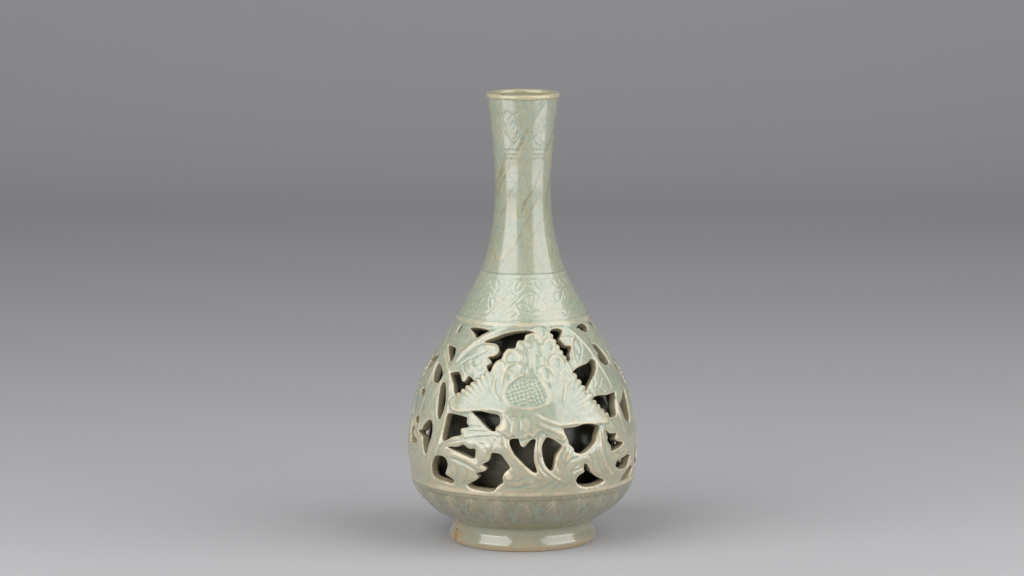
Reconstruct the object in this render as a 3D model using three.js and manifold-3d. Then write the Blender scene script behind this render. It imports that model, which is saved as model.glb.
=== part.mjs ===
// Openwork celadon bottle: a plain inner vessel that holds the water stands inside a thrown
// outer shell, whose wall is pierced into three blossoms among scrolling stems and leaves.
// The shell is thrown in sections, which meet on flat seats under the incised lines.
// Millimetres, +Z up. The origin is the middle of the foot's underside, the front faces -Y,
// and a bearing in degrees runs from the front towards +X.
import * as THREE from "three";
import { mergeVertices } from "three/addons/utils/BufferGeometryUtils.js";
import Module from "manifold-3d";

const wasm = await Module();
wasm.setup();

// Heights of the thrown sections, from the table up
const footHeight = 14;
const bowlHeight = 24;
const openworkHeight = 100;
const shoulderHeight = 26;
const neckHeight = 103;
const lipHeight = 3;

// Outer radii of the shell at the seats and between them, with their rise above the seat below
const bowlBottomRadius = 45.1;
const hipRise = 10;
const hipRadius = 58.8;
const bowlRimRadius = 67.6;
const bellyRise = 22;
const bellyRadius = 70.2;
const flankRise = 58;
const flankRadius = 62.8;
const shoulderRadius = 39.4;
const neckBaseRadius = 25.6;
const taperRise = 18;
const taperRadius = 20;
const neckWaistRise = 49;
const neckWaistRadius = 16.8;
const flareRise = 76;
const flareRadius = 18.5;
const mouthRadius = 21.4;

// Walls and floors
const shellWall = 7;
const bowlFloor = 8;
const innerVesselWall = 3.6;
const innerVesselFloor = 5;
const neckWall = 4.4;
const mouthWall = 2.7;

// Foot ring: its bead near the table, the hollow above it and its width
const footBeadRadius = 44.2;
const footBeadHeight = 2.6;
const footHollowRadius = 42.4;
const footHollowHeight = 9;
const footCorner = 1;
const footRingWidth = 7.5;

// Rolled lip
const lipOverhang = 0.9;
const lipRounding = 0.8;

// Air between the inner vessel and the shell, and the luted gaps
const airGap = 9;
const lutingGap = 0.3;

// Coils of clay that lute the inner vessel to the bowl's floor and to the shoulder
const floorCoilWidth = 5;
const floorCoilHeight = 4;
const collarCoilHeight = 6.5;
const collarCoilDrop = 5;

// Smoothness of the turned shapes
const turnSegments = 48;
const profileStep = 11;
const slopeStep = 0.5;

// How far the knife passes the outer and inner faces of the openwork wall
const knifeOutside = 6;
const knifeInside = 3;

// Seats between the sections
const bowlBottom = footHeight;
const openworkBottom = bowlBottom + bowlHeight;
const shoulderBottom = openworkBottom + openworkHeight;
const neckBottom = shoulderBottom + shoulderHeight;
const lipBottom = neckBottom + neckHeight;
const bowlFloorTop = bowlBottom + bowlFloor;

// Smooth curve through stations of height and radius: on each span a cubic that keeps the
// mean slope of its neighbours at both ends
function smoothRadius(stations, height) {
  const last = stations.length - 1;
  let span = 0;
  while (span < last - 1 && height >= stations[span + 1][0]) {
    span += 1;
  }
  const slopeOf = (i) => (stations[i + 1][1] - stations[i][1]) / (stations[i + 1][0] - stations[i][0]);
  const lengthOf = (i) => stations[i + 1][0] - stations[i][0];
  const innerSlope = (i) =>
    (slopeOf(i - 1) * lengthOf(i) + slopeOf(i) * lengthOf(i - 1)) / (lengthOf(i - 1) + lengthOf(i));
  const slopeAt = (i) => {
    if (i === 0) {
      return 2 * slopeOf(0) - innerSlope(1);
    }
    if (i === last) {
      return 2 * slopeOf(last - 1) - innerSlope(last - 1);
    }
    return innerSlope(i);
  };
  const [startHeight, startRadius] = stations[span];
  const endRadius = stations[span + 1][1];
  const length = lengthOf(span);
  const t = (height - startHeight) / length;
  const startShare = (1 + 2 * t) * (1 - t) ** 2;
  const endShare = t * t * (3 - 2 * t);
  const startTurn = t * (1 - t) ** 2 * length * slopeAt(span);
  const endTurn = t * t * (t - 1) * length * slopeAt(span + 1);
  return startShare * startRadius + endShare * endRadius + startTurn + endTurn;
}

const shellStations = [
  [bowlBottom, bowlBottomRadius],
  [bowlBottom + hipRise, hipRadius],
  [openworkBottom, bowlRimRadius],
  [openworkBottom + bellyRise, bellyRadius],
  [openworkBottom + flankRise, flankRadius],
  [shoulderBottom, shoulderRadius],
  [neckBottom, neckBaseRadius],
  [neckBottom + taperRise, taperRadius],
  [neckBottom + neckWaistRise, neckWaistRadius],
  [neckBottom + flareRise, flareRadius],
  [lipBottom, mouthRadius],
];

const shellRadius = (height) => smoothRadius(shellStations, height);

const shellSlope = (height) =>
  (shellRadius(height + slopeStep) - shellRadius(height - slopeStep)) / (2 * slopeStep);

// Radius at a depth under the shell's face, measured square to that face
const radiusUnder = (height, depth) => shellRadius(height) - depth * Math.hypot(1, shellSlope(height));

const shellInside = (height) => radiusUnder(height, shellWall);

// The inner vessel follows the shell at the air gap, up to a straight neck that fits the shoulder
const innerNeckRadius = shellInside(neckBottom) - lutingGap;
const innerBoreRadius = innerNeckRadius - innerVesselWall;
const innerVesselOutside = (height) =>
  Math.max(innerNeckRadius, radiusUnder(height, shellWall) - airGap);
const innerVesselInside = (height) =>
  Math.max(innerBoreRadius, radiusUnder(height, shellWall + innerVesselWall) - airGap);

const boreStations = [
  [neckBottom, innerBoreRadius],
  [neckBottom + neckWaistRise, neckWaistRadius - neckWall],
  [lipBottom, mouthRadius - mouthWall],
];
const boreRadius = (height) => smoothRadius(boreStations, height);

// Evenly spaced heights from one level to another, both included
function levels(from, to) {
  const steps = Math.max(1, Math.ceil(Math.abs(to - from) / profileStep));
  return Array.from({ length: steps + 1 }, (_, i) => from + ((to - from) * i) / steps);
}

// Points of a profile along a radius function, from one height to another
const along = (radius, from, to) => levels(from, to).map((height) => [radius(height), height]);

function turned(profile) {
  const points = profile.map(([radius, height]) => new THREE.Vector2(radius, height));
  const geometry = new THREE.LatheGeometry(points, turnSegments);
  geometry.rotateX(Math.PI / 2);
  return geometry;
}

const turnedRing = (profile) => turned([...profile, profile[0]]);

function footRing() {
  const innerRadius = footBeadRadius - footRingWidth;
  const stations = [
    [footCorner, footBeadRadius - footCorner / 2],
    [footBeadHeight, footBeadRadius],
    [footHollowHeight, footHollowRadius],
    [footHeight, footHollowRadius],
  ];
  const outside = stations.map(([height, radius]) => [radius, height]);
  return turnedRing([
    [innerRadius + footCorner, 0],
    [footBeadRadius - 2 * footCorner, 0],
    ...outside,
    [innerRadius - footCorner, footHeight],
    [innerRadius, footCorner],
  ]);
}

function lowerBowl() {
  return turned([
    [0, bowlBottom],
    ...along(shellRadius, bowlBottom, openworkBottom),
    ...along(shellInside, openworkBottom, bowlFloorTop),
    [0, bowlFloorTop],
  ]);
}

function shoulder() {
  return turnedRing([
    ...along(shellRadius, shoulderBottom, neckBottom),
    ...along(shellInside, neckBottom, shoulderBottom),
  ]);
}

function neck() {
  return turnedRing([
    ...along(shellRadius, neckBottom, lipBottom),
    ...along(boreRadius, lipBottom, neckBottom),
  ]);
}

function mouthLip() {
  const boreAtMouth = mouthRadius - mouthWall;
  const lipTop = lipBottom + lipHeight;
  return turnedRing([
    [mouthRadius, lipBottom],
    [mouthRadius + lipOverhang, lipBottom + lipRounding],
    [mouthRadius + lipOverhang, lipTop - lipRounding],
    [mouthRadius + lipOverhang - lipRounding, lipTop],
    [boreAtMouth + lipRounding, lipTop],
    [boreAtMouth, lipTop - lipRounding],
    [boreAtMouth, lipBottom],
  ]);
}

function innerVessel() {
  const floorTop = bowlFloorTop + innerVesselFloor;
  return turned([
    [0, bowlFloorTop],
    ...along(innerVesselOutside, bowlFloorTop, neckBottom),
    ...along(innerVesselInside, neckBottom, floorTop),
    [0, floorTop],
  ]);
}

function floorCoil() {
  const coilTop = bowlFloorTop + floorCoilHeight;
  const inner = (height) => innerVesselOutside(height) + lutingGap;
  return turnedRing([
    [inner(bowlFloorTop) + floorCoilWidth, bowlFloorTop],
    [inner(coilTop) + floorCoilWidth / 2, coilTop],
    [inner(coilTop), coilTop],
    [inner(bowlFloorTop), bowlFloorTop],
  ]);
}

function collarCoil() {
  const coilTop = neckBottom - collarCoilDrop;
  const coilBottom = coilTop - collarCoilHeight;
  const outer = (height) => shellInside(height) - lutingGap;
  const inner = innerNeckRadius + lutingGap;
  return turnedRing([
    [outer(coilBottom), coilBottom],
    [outer(coilTop), coilTop],
    [inner, coilTop],
    [inner, coilBottom],
  ]);
}

// The cut drawing. Each opening is an outline of bearing in degrees from its blossom's middle
// and height in hundredths of the openwork wall.
const aroundEachBlossom = {
  underRimLeft: [[-48.5, 95], [-43, 93], [-38, 90.5], [-34, 92.5], [-28.5, 95], [-40, 95.8]],
  underArch: [
    [-30, 89], [-20, 88.3], [-17.5, 86], [-17.5, 83.5], [-25, 81.3], [-22, 78], [-24.5, 75.5],
    [-20.5, 72.5], [-18.5, 76.5], [-14.5, 80.5], [-12, 84.7], [-7, 86], [-4.5, 89], [0.5, 91.3],
    [3.5, 94], [8, 95.2], [5, 96.3], [-5, 96.2], [-15, 95.5], [-22, 93.5], [-28, 90.7],
  ],
  leftOfBlossom: [
    [-48.3, 69.7], [-46.5, 67.3], [-43.5, 64.3], [-41.5, 60.2], [-38.5, 57.3], [-37.3, 60.3],
    [-33, 63.5], [-29.5, 67], [-34, 69.8], [-35.8, 66.2], [-38, 66.7], [-40, 69], [-43, 71],
  ],
  underLeftWing: [
    [-41.8, 46.8], [-42.5, 40], [-43.3, 34], [-42.5, 30.5], [-37, 34], [-32.3, 35.5],
    [-32.7, 39], [-28.2, 40.8], [-29.7, 43], [-30, 46], [-36, 47],
  ],
  leftOfCalyx: [
    [-27.5, 49.7], [-23.6, 46.6], [-18, 41], [-15.7, 39.3], [-13.8, 39.4], [-14, 41.2],
    [-11.8, 44], [-12.5, 48.5], [-18, 49.7], [-23, 50.4],
  ],
  overCurledLeaf: [
    [-39.6, 27.3], [-34.5, 25.5], [-28.5, 23.3], [-24.3, 22.3], [-23.8, 28], [-27, 27.8],
    [-30.5, 30], [-33.5, 28.3],
  ],
  lowLeft: [
    [-50.4, 9], [-49, 6.7], [-44, 6], [-37.3, 5.1], [-36.2, 7.5], [-41, 10.5], [-39.8, 14.5],
    [-39.5, 17.5], [-41, 20.3], [-44, 21.2], [-48, 20], [-50.3, 15],
  ],
  lowMiddle: [
    [-28.3, 5.5], [-26, 3.3], [-20, 2.5], [-15, 2.6], [-12.5, 5.7], [-9.7, 8.5], [-10, 11.5],
    [-8.7, 15], [-6.4, 18], [-9, 22.8], [-11, 25.7], [-15.3, 26.2], [-16.7, 21.5], [-20, 19],
    [-17.5, 16.7], [-19.5, 14.8], [-23.2, 13.3], [-21.8, 10.8], [-24.3, 8.3],
  ],
  betweenStems: [
    [-6.5, 34.5], [-6.3, 31], [-4.3, 26], [-2, 22.8], [1.5, 18.7], [4.8, 15.3], [6.8, 15.2],
    [5.3, 22], [5.4, 29], [6.2, 34.5], [4, 34.5], [2.3, 32.8], [0.2, 30], [-1.5, 32], [-2.5, 35.2],
  ],
  besideStem: [
    [9.2, 31], [9.4, 25], [10.4, 20.5], [12.2, 16.8], [14.3, 15.8], [15.2, 19], [16.2, 24.5],
    [19.3, 30], [17, 32.8], [14, 35], [11.5, 35.5],
  ],
  underRightWing: [
    [20.8, 40.5], [21.2, 36.8], [22.8, 34], [23, 31.5], [25.2, 28.5], [26, 25.8], [30, 24.6],
    [33.5, 26.5], [37.8, 30.5], [39.5, 34.5], [41.4, 39.3], [36, 41.5], [31, 41.8], [27, 40.7],
  ],
  lowRight: [
    [31.3, 18.5], [30.8, 15.5], [31.3, 13.5], [28, 11.3], [26.7, 8.5], [28.5, 5.5], [33, 3.6],
    [38.5, 3.6], [43.9, 5.8], [38.5, 9.2], [35, 12.7], [33.3, 16.8],
  ],
  rightOfBlossom: [
    [32, 71.2], [32.3, 67.3], [34.5, 64], [35, 61.2], [38, 61.5], [42.5, 65], [47.5, 68],
    [49.5, 71.2], [52.5, 73.5], [52, 76.7], [50, 78], [44, 75.2], [39, 75], [35.5, 73.2],
  ],
  underRimRight: [
    [22.5, 92.5], [25, 89.5], [25.2, 86], [27.2, 83], [28.3, 80], [30.5, 78.5], [33.2, 79.8],
    [34, 83], [37.5, 86.3], [31, 87.3], [28.7, 90.2], [31.5, 93.3], [35, 95.5], [29.5, 96.5],
    [24, 96],
  ],
};

const rightLeafPair = [
  [40.7, 54.3], [43.5, 52.2], [45.2, 50], [44.8, 47], [48, 46.8], [50, 44], [55.8, 43.9],
  [56.5, 48], [58, 52], [60.8, 56.6], [52, 56.3], [47, 57.1], [43, 56.8],
];
const rightHook = [
  [45.6, 36.6], [46.5, 32.5], [46, 30], [48.2, 26.5], [48.8, 23.5], [54, 24], [58.7, 26.2],
  [53.5, 28.5], [51.8, 30.5], [53.3, 33.2], [48.5, 34],
];

const besideFrontBlossom = {
  leftLens: [
    [-53, 61], [-52, 56], [-50.5, 49], [-49, 44], [-47, 42.8], [-45.7, 48], [-45.7, 54],
    [-48, 60.5], [-50.5, 63.8], [-52.8, 63.5],
  ],
  leftUnderStem: [
    [-67, 72.8], [-66.5, 68.5], [-65, 65.5], [-62, 63], [-56.3, 62.8], [-55, 67.5],
    [-58.5, 70.5], [-62, 72],
  ],
  leftOverStem: [
    [-65.5, 83.5], [-62, 81], [-57, 78.3], [-54, 75.8], [-52.3, 76.3], [-52, 79], [-53.5, 82],
    [-56, 83.3],
  ],
  leftSickle: [
    [-65.5, 32.4], [-59.5, 30.3], [-58.8, 27], [-57.7, 23], [-56.5, 20], [-55, 20.8], [-53, 27],
    [-51.7, 32], [-51.8, 38], [-53.5, 40.8], [-56, 40.7], [-60, 37], [-62, 34],
  ],
  leftNickHigh: [[-64, 91.5], [-60.5, 91.2], [-60, 95], [-63.5, 95.3]],
  leftNickMiddle: [[-76.5, 55], [-73, 53], [-68.3, 53.5], [-68.5, 56], [-72, 56.8]],
  leftNickLow: [[-73, 37.5], [-69, 36], [-66, 38], [-67, 41], [-71, 40]],
  rightUnderRim: [[50.4, 95.1], [54, 93.5], [58, 92.2], [62, 91.7], [66.5, 94.7], [60, 96.4], [54, 96.2]],
  rightSlitHigh: [
    [59.2, 84.7], [60, 80], [58.3, 75.8], [63, 72.3], [68.5, 72.7], [70, 76], [67.5, 80.5],
    [65, 83.5],
  ],
  rightLeafPair,
  rightSlit: [
    [62.1, 48.9], [63, 44], [64.7, 39.3], [70.3, 37], [72.3, 44], [74, 50.5], [75.8, 55.8],
    [71, 54.3], [66, 51.2],
  ],
  rightHook,
  rightLow: [
    [51.7, 14.3], [53.5, 11.7], [59, 10.4], [63.3, 11.2], [65.3, 14.5], [67.1, 17], [63, 18.2],
    [58, 17.4], [54.5, 17.8],
  ],
  rightFoot: [[57.5, 3], [62.5, 2.6], [67.5, 3.5], [71.7, 7.4], [69.5, 10.5], [63.5, 8.6], [60.3, 6]],
};

// Bearings of the two blossoms behind, left and right of the back's middle line
const blossomsBehind = { right: 128, left: -128 };
const blossomBearings = [0, blossomsBehind.right, blossomsBehind.left];

const turnedBy = (outline, bearing) => outline.map(([degrees, height]) => [degrees + bearing, height]);

const openings = [
  ...blossomBearings.flatMap((bearing) =>
    Object.values(aroundEachBlossom).map((outline) => turnedBy(outline, bearing)),
  ),
  ...Object.values(besideFrontBlossom),
  turnedBy(rightLeafPair, blossomsBehind.right),
  turnedBy(rightHook, blossomsBehind.right),
  turnedBy(rightHook, blossomsBehind.left),
];

// Point of the wall at a bearing and a height in hundredths, raised square to its face
function wallPoint(degrees, hundredths, raised) {
  const height = openworkBottom + (openworkHeight * hundredths) / 100;
  const slope = shellSlope(height);
  const lean = Math.hypot(1, slope);
  const radius = shellRadius(height) + raised / lean;
  const bearing = THREE.MathUtils.degToRad(degrees);
  return [radius * Math.sin(bearing), -radius * Math.cos(bearing), height - (raised * slope) / lean];
}

// The plug of clay that the knife takes out of an opening, square to the wall
function knifeCut(outline) {
  const contour = outline.map(([degrees, height]) => new THREE.Vector2(degrees, height));
  if (THREE.ShapeUtils.isClockWise(contour)) {
    contour.reverse();
  }
  const count = contour.length;
  const outer = contour.flatMap((p) => wallPoint(p.x, p.y, knifeOutside));
  const inner = contour.flatMap((p) => wallPoint(p.x, p.y, -shellWall - knifeInside));
  const faces = THREE.ShapeUtils.triangulateShape(contour, []);
  const outerFaces = faces.flat();
  const innerFaces = faces.flatMap(([a, b, c]) => [c + count, b + count, a + count]);
  const sideFaces = contour.flatMap((_, i) => {
    const next = (i + 1) % count;
    return [i, i + count, next + count, i, next + count, next];
  });
  return new wasm.Manifold(
    new wasm.Mesh({
      numProp: 3,
      vertProperties: new Float32Array([...outer, ...inner]),
      triVerts: new Uint32Array([...outerFaces, ...innerFaces, ...sideFaces]),
    }),
  );
}

function solidOf(geometry) {
  geometry.deleteAttribute("normal");
  geometry.deleteAttribute("uv");
  const merged = mergeVertices(geometry);
  return new wasm.Manifold(
    new wasm.Mesh({
      numProp: 3,
      vertProperties: new Float32Array(merged.attributes.position.array),
      triVerts: new Uint32Array(merged.index.array),
    }),
  );
}

function geometryOf(solid) {
  const mesh = solid.getMesh();
  const geometry = new THREE.BufferGeometry();
  geometry.setAttribute("position", new THREE.BufferAttribute(new Float32Array(mesh.vertProperties), 3));
  geometry.setIndex(new THREE.BufferAttribute(new Uint32Array(mesh.triVerts), 1));
  geometry.computeVertexNormals();
  return geometry;
}

function openworkWall() {
  const blank = turnedRing([
    ...along(shellRadius, openworkBottom, shoulderBottom),
    ...along(shellInside, shoulderBottom, openworkBottom),
  ]);
  const pierced = openings.reduce((wall, outline) => wall.subtract(knifeCut(outline)), solidOf(blank));
  return geometryOf(pierced);
}

function finish(color, roughness) {
  return new THREE.MeshStandardMaterial({ color, roughness, metalness: 0 });
}

const paleGlaze = 0xa9b6a1;
const oliveGlaze = 0xa3a78c;
const creamGlaze = 0xd6cda4;
const shadedGlaze = 0x4b4a3f;
const bareClay = 0x94836a;

const vase = new THREE.Group();

function add(name, geometry, material) {
  const mesh = new THREE.Mesh(geometry, material);
  mesh.name = name;
  vase.add(mesh);
}

add("foot_ring", footRing(), finish(oliveGlaze, 0.25));
add("lower_bowl", lowerBowl(), finish(oliveGlaze, 0.22));
add("openwork_wall", openworkWall(), finish(paleGlaze, 0.2));
add("shoulder", shoulder(), finish(paleGlaze, 0.2));
add("neck", neck(), finish(paleGlaze, 0.18));
add("mouth_lip", mouthLip(), finish(creamGlaze, 0.25));
add("inner_vessel", innerVessel(), finish(shadedGlaze, 0.3));
add("floor_coil", floorCoil(), finish(bareClay, 0.9));
add("collar_coil", collarCoil(), finish(bareClay, 0.9));

export default vase;
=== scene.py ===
# %% [markdown]
# # An openwork celadon bottle
#
# The bottle is double-walled: a plain inner vessel holds the water, and an outer shell around
# it is carved and pierced with three blossoms among scrolling stems and leaves.
# Every surface here is turned on one axis, so each is written as a function of two
# parameters: the bearing around the axis and the way up the profile. Relief is a depth under
# that surface, and the openings are outlines cut square to it.
#
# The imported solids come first. They fix all sizes, and nothing below moves them.

# %% Load the frame
import math

import bpy
import numpy as np
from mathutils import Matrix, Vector


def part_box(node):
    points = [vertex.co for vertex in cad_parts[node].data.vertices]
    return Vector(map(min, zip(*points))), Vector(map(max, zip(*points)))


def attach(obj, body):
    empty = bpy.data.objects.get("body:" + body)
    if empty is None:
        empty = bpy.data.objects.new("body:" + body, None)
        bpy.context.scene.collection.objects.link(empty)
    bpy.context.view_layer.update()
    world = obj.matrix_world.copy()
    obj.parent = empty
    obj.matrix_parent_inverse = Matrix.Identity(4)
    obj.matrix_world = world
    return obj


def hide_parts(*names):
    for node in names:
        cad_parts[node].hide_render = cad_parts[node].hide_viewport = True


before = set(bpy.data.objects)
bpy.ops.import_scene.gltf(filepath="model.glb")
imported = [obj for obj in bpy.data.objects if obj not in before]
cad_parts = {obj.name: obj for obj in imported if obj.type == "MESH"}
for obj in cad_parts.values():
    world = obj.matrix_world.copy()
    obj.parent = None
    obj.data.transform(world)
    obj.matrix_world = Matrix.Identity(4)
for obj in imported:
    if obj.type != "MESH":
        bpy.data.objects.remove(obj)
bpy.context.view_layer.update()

MM = 0.001
print("frame nodes:", sorted(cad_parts))

# %% [markdown]
# ## Camera
#
# The photograph was taken from a little above the bottle's mouth with a long lens. A camera
# can be matched by eye, but a round rim seen from above is an ellipse, and its flatness says
# how steeply the camera looks down. The distance, height and tilt were fitted to the outline
# and to such ellipses, so the camera is placed by those numbers and looks along +Y.

# %% Camera
CAMERA_SIDE = -0.0065
CAMERA_DISTANCE = 2.24
CAMERA_HEIGHT = 0.48
CAMERA_TILT = math.radians(8.325)
LENS_MM = 132.85
SENSOR_MM = 36

camera_data = bpy.data.cameras.new("camera")
camera_data.lens = LENS_MM
camera_data.sensor_width = SENSOR_MM
camera = bpy.data.objects.new("camera", camera_data)
camera.location = (CAMERA_SIDE, -CAMERA_DISTANCE, CAMERA_HEIGHT)
camera.rotation_euler = (math.pi / 2 - CAMERA_TILT, 0, 0)
bpy.context.scene.collection.objects.link(camera)
bpy.context.scene.camera = camera
bpy.context.scene.view_settings.view_transform = "Standard"
print("camera", tuple(round(c, 3) for c in camera.location), "lens", LENS_MM)

# %% [markdown]
# ## Meshes from arrays
#
# A finished surface arrives as an array of points and arrays of faces. `foreach_set` copies
# whole arrays into Blender at once, which is the only quick way for a hundred thousand
# corners. Shading is smooth, and a piece that is one panel of a larger surface is given the
# larger surface's normals, so that no line shows where two panels meet.

# %% Mesh helper
TINY = 1e-12


def points_of(mesh):
    """The points of a mesh in metres, n by 3."""
    points = np.empty(len(mesh.vertices) * 3)
    mesh.vertices.foreach_get("co", points)
    return points.reshape(-1, 3)


def store(mesh, key, values):
    """Keeps one number for each point of a mesh, under a name that the glazes read."""
    layer = mesh.attributes.new(key, "FLOAT", "POINT")
    layer.data.foreach_set("value", np.asarray(values, np.float32).ravel())


def mesh_object(name, points, quads, triangles=None, attributes=None, normals=None):
    """Makes an object from points (mm, n by 3), quads (m by 4) and triangles (k by 3).

    attributes holds the numbers to store on the points, under their names."""
    triangles = np.zeros((0, 3), int) if triangles is None else triangles
    corners = np.concatenate([quads.ravel(), triangles.ravel()]).astype(np.int32)
    starts = np.concatenate([np.arange(len(quads)) * 4, quads.size + np.arange(len(triangles)) * 3])
    mesh = bpy.data.meshes.new(name)
    mesh.vertices.add(len(points))
    mesh.vertices.foreach_set("co", (points * MM).astype(np.float32).ravel())
    mesh.loops.add(len(corners))
    mesh.loops.foreach_set("vertex_index", corners)
    mesh.polygons.add(len(starts))
    mesh.polygons.foreach_set("loop_start", starts.astype(np.int32))
    mesh.update(calc_edges=True)
    mesh.validate()
    mesh.polygons.foreach_set("use_smooth", np.ones(len(mesh.polygons), bool))
    for key, values in (attributes or {}).items():
        store(mesh, key, values)
    if normals is not None:
        mesh.normals_split_custom_set_from_vertices(normals.tolist())
    made = bpy.data.objects.new(name, mesh)
    bpy.context.scene.collection.objects.link(made)
    print(name, len(points), "points,", 2 * len(quads) + len(triangles), "triangles")
    return made


def grid_quads(rows, columns, wrap_rows=False):
    """Quads of a grid that closes on itself around the columns, and over the rows if asked."""
    row = np.arange(rows if wrap_rows else rows - 1)[:, None]
    column = np.arange(columns)[None, :]
    above, beside = (row + 1) % rows, (column + 1) % columns
    corners = (row * columns + column, row * columns + beside,
               above * columns + beside, above * columns + column)
    return np.stack([c.ravel() for c in np.broadcast_arrays(*corners)], axis=1)


def point_normals(points, quads, triangles):
    """Normal of each point: the sum of the cross products of the faces that meet there."""
    total = np.zeros_like(points)
    across = np.cross(points[quads[:, 2]] - points[quads[:, 0]],
                      points[quads[:, 3]] - points[quads[:, 1]])
    corner = np.cross(points[triangles[:, 1]] - points[triangles[:, 0]],
                      points[triangles[:, 2]] - points[triangles[:, 0]])
    for faces, cross in ((quads, across), (triangles, corner)):
        for axis in range(3):
            weights = np.repeat(cross[:, axis], faces.shape[1])
            total[:, axis] += np.bincount(faces.ravel(), weights, len(points))
    return total / np.maximum(np.linalg.norm(total, axis=1, keepdims=True), TINY)


# %% [markdown]
# ## The turned profile
#
# The shell was thrown on a wheel, so one curve gives its radius at each height. A Screw
# modifier could turn that curve, but then relief would have to be sculpted onto it. Here the
# radius is a function, and relief is taken off it. The solids of the frame hold the curve as
# rings of corners. Reading the rings back keeps every surface below on its solid, and a
# smooth cubic through them takes the facets away.

# %% Profile from the frame
RING_CORNERS = 12


def turned_rings(node, pick=np.max):
    """Heights and radii (mm) of a node's rings: the corners that share a height."""
    points = np.unique(points_of(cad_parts[node].data).round(7), axis=0) / MM
    heights = points[:, 2].round(2)
    radii = np.hypot(points[:, 0], points[:, 1])
    levels, counts = np.unique(heights, return_counts=True)
    levels = levels[counts >= RING_CORNERS]
    return levels, np.array([pick(radii[heights == z]) for z in levels])


def cubic(t, start, end, leave, arrive, span=1.0):
    """From start to end as t goes from 0 to 1, with the slopes leave and arrive over the span."""
    return ((1 + 2 * t) * (1 - t) ** 2 * start + t * t * (3 - 2 * t) * end
            + t * (1 - t) ** 2 * span * leave + t * t * (t - 1) * span * arrive)


def smooth_curve(stations, values, at):
    """Cubic through the stations whose slope at each is the mean of its two neighbours'."""
    spans = np.diff(stations)
    slopes = np.diff(values) / spans
    inner = (slopes[:-1] * spans[1:] + slopes[1:] * spans[:-1]) / (spans[1:] + spans[:-1])
    ends = 2 * slopes[[0, -1]] - inner[[0, -1]]
    slopes = np.concatenate([ends[:1], inner, ends[1:]])
    i = np.clip(np.searchsorted(stations, at, side="right") - 1, 0, len(spans) - 1)
    t = (at - stations[i]) / spans[i]
    return cubic(t, values[i], values[i + 1], slopes[i], slopes[i + 1], spans[i])


shell_rings = dict(pair for node in ("lower_bowl", "openwork_wall", "shoulder", "neck")
                   for pair in zip(*turned_rings(node)))
RING_HEIGHTS = np.array(sorted(shell_rings))
RING_RADII = np.array([shell_rings[z] for z in RING_HEIGHTS])
print(len(RING_HEIGHTS), "rings, widest", RING_RADII.max().round(2), "mm")


def shell_radius(z):
    """Radius of the shell's face at a height, both in mm."""
    return smooth_curve(RING_HEIGHTS, RING_RADII, np.asarray(z, float))


def shell_slope(z):
    """How fast that radius grows with height."""
    return (shell_radius(z + 0.25) - shell_radius(z - 0.25)) / 0.5


def inset_radius(z, depth):
    """Radius at a height of the surface that lies a depth under the face, along its normal."""
    return shell_radius(z) - depth * np.hypot(1, shell_slope(z))


def at_radius(bearing, radius, z):
    """Points at a bearing from the front, a radius and a height."""
    radius, z = radius + 0 * bearing, z + 0 * bearing
    return np.stack([radius * np.sin(bearing), -radius * np.cos(bearing), z], axis=-1)


def rows_around(bearing, pairs):
    """One row of points around the axis for each pair of radius and height."""
    return np.stack([at_radius(bearing, radius, z) for radius, z in pairs])


def under_shell(bearing, z, depth):
    """Points at a depth under the face, measured along the face's own normal."""
    slope = shell_slope(z)
    lean = np.hypot(1, slope)
    return at_radius(bearing, shell_radius(z) - depth / lean, z + depth * slope / lean)


def bottom_of(node):
    """Height of a solid's underside in mm."""
    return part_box(node)[0][2] / MM


BOWL_BOTTOM = bottom_of("lower_bowl")
OPENWORK_BOTTOM = bottom_of("openwork_wall")
SHOULDER_BOTTOM = bottom_of("shoulder")
NECK_BOTTOM = bottom_of("neck")
LIP_BOTTOM = bottom_of("mouth_lip")
LIP_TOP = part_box("mouth_lip")[1][2] / MM
OPENWORK_HEIGHT = SHOULDER_BOTTOM - OPENWORK_BOTTOM
SHELL_WALL = 7.0
SEATS = (BOWL_BOTTOM, OPENWORK_BOTTOM, SHOULDER_BOTTOM, NECK_BOTTOM, LIP_BOTTOM)
print("seats at", [round(z, 2) for z in SEATS], "mm")

# %% [markdown]
# ## Curves and distances
#
# Cuts, ridges and grooves all ask one question of every grid point: how far is the nearest
# curve? The answer is the smallest distance to the curve's short straight pieces, worked out
# for all points near it at once. A closed outline also tells inside from outside, by counting
# how often a ray to the right crosses it.

# %% Curve helpers
def smooth_path(points, closed=False, pieces=5, pull=0.4):
    """Cubic through the points; each point's tangent is `pull` times its neighbours' chord."""
    points = np.asarray(points, float)
    before, after = np.roll(points, 1, axis=0), np.roll(points, -1, axis=0)
    if not closed:
        before[0], after[-1] = points[0], points[-1]
    tangent = pull * (after - before)
    ends = [points, np.roll(points, -1, axis=0), tangent, np.roll(tangent, -1, axis=0)]
    if not closed:
        ends = [each[:-1] for each in ends]
    t = (np.arange(pieces) / pieces)[None, :, None]
    curve = cubic(t, *(each[:, None] for each in ends)).reshape(-1, 2)
    return curve if closed else np.concatenate([curve, points[-1:]])


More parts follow.
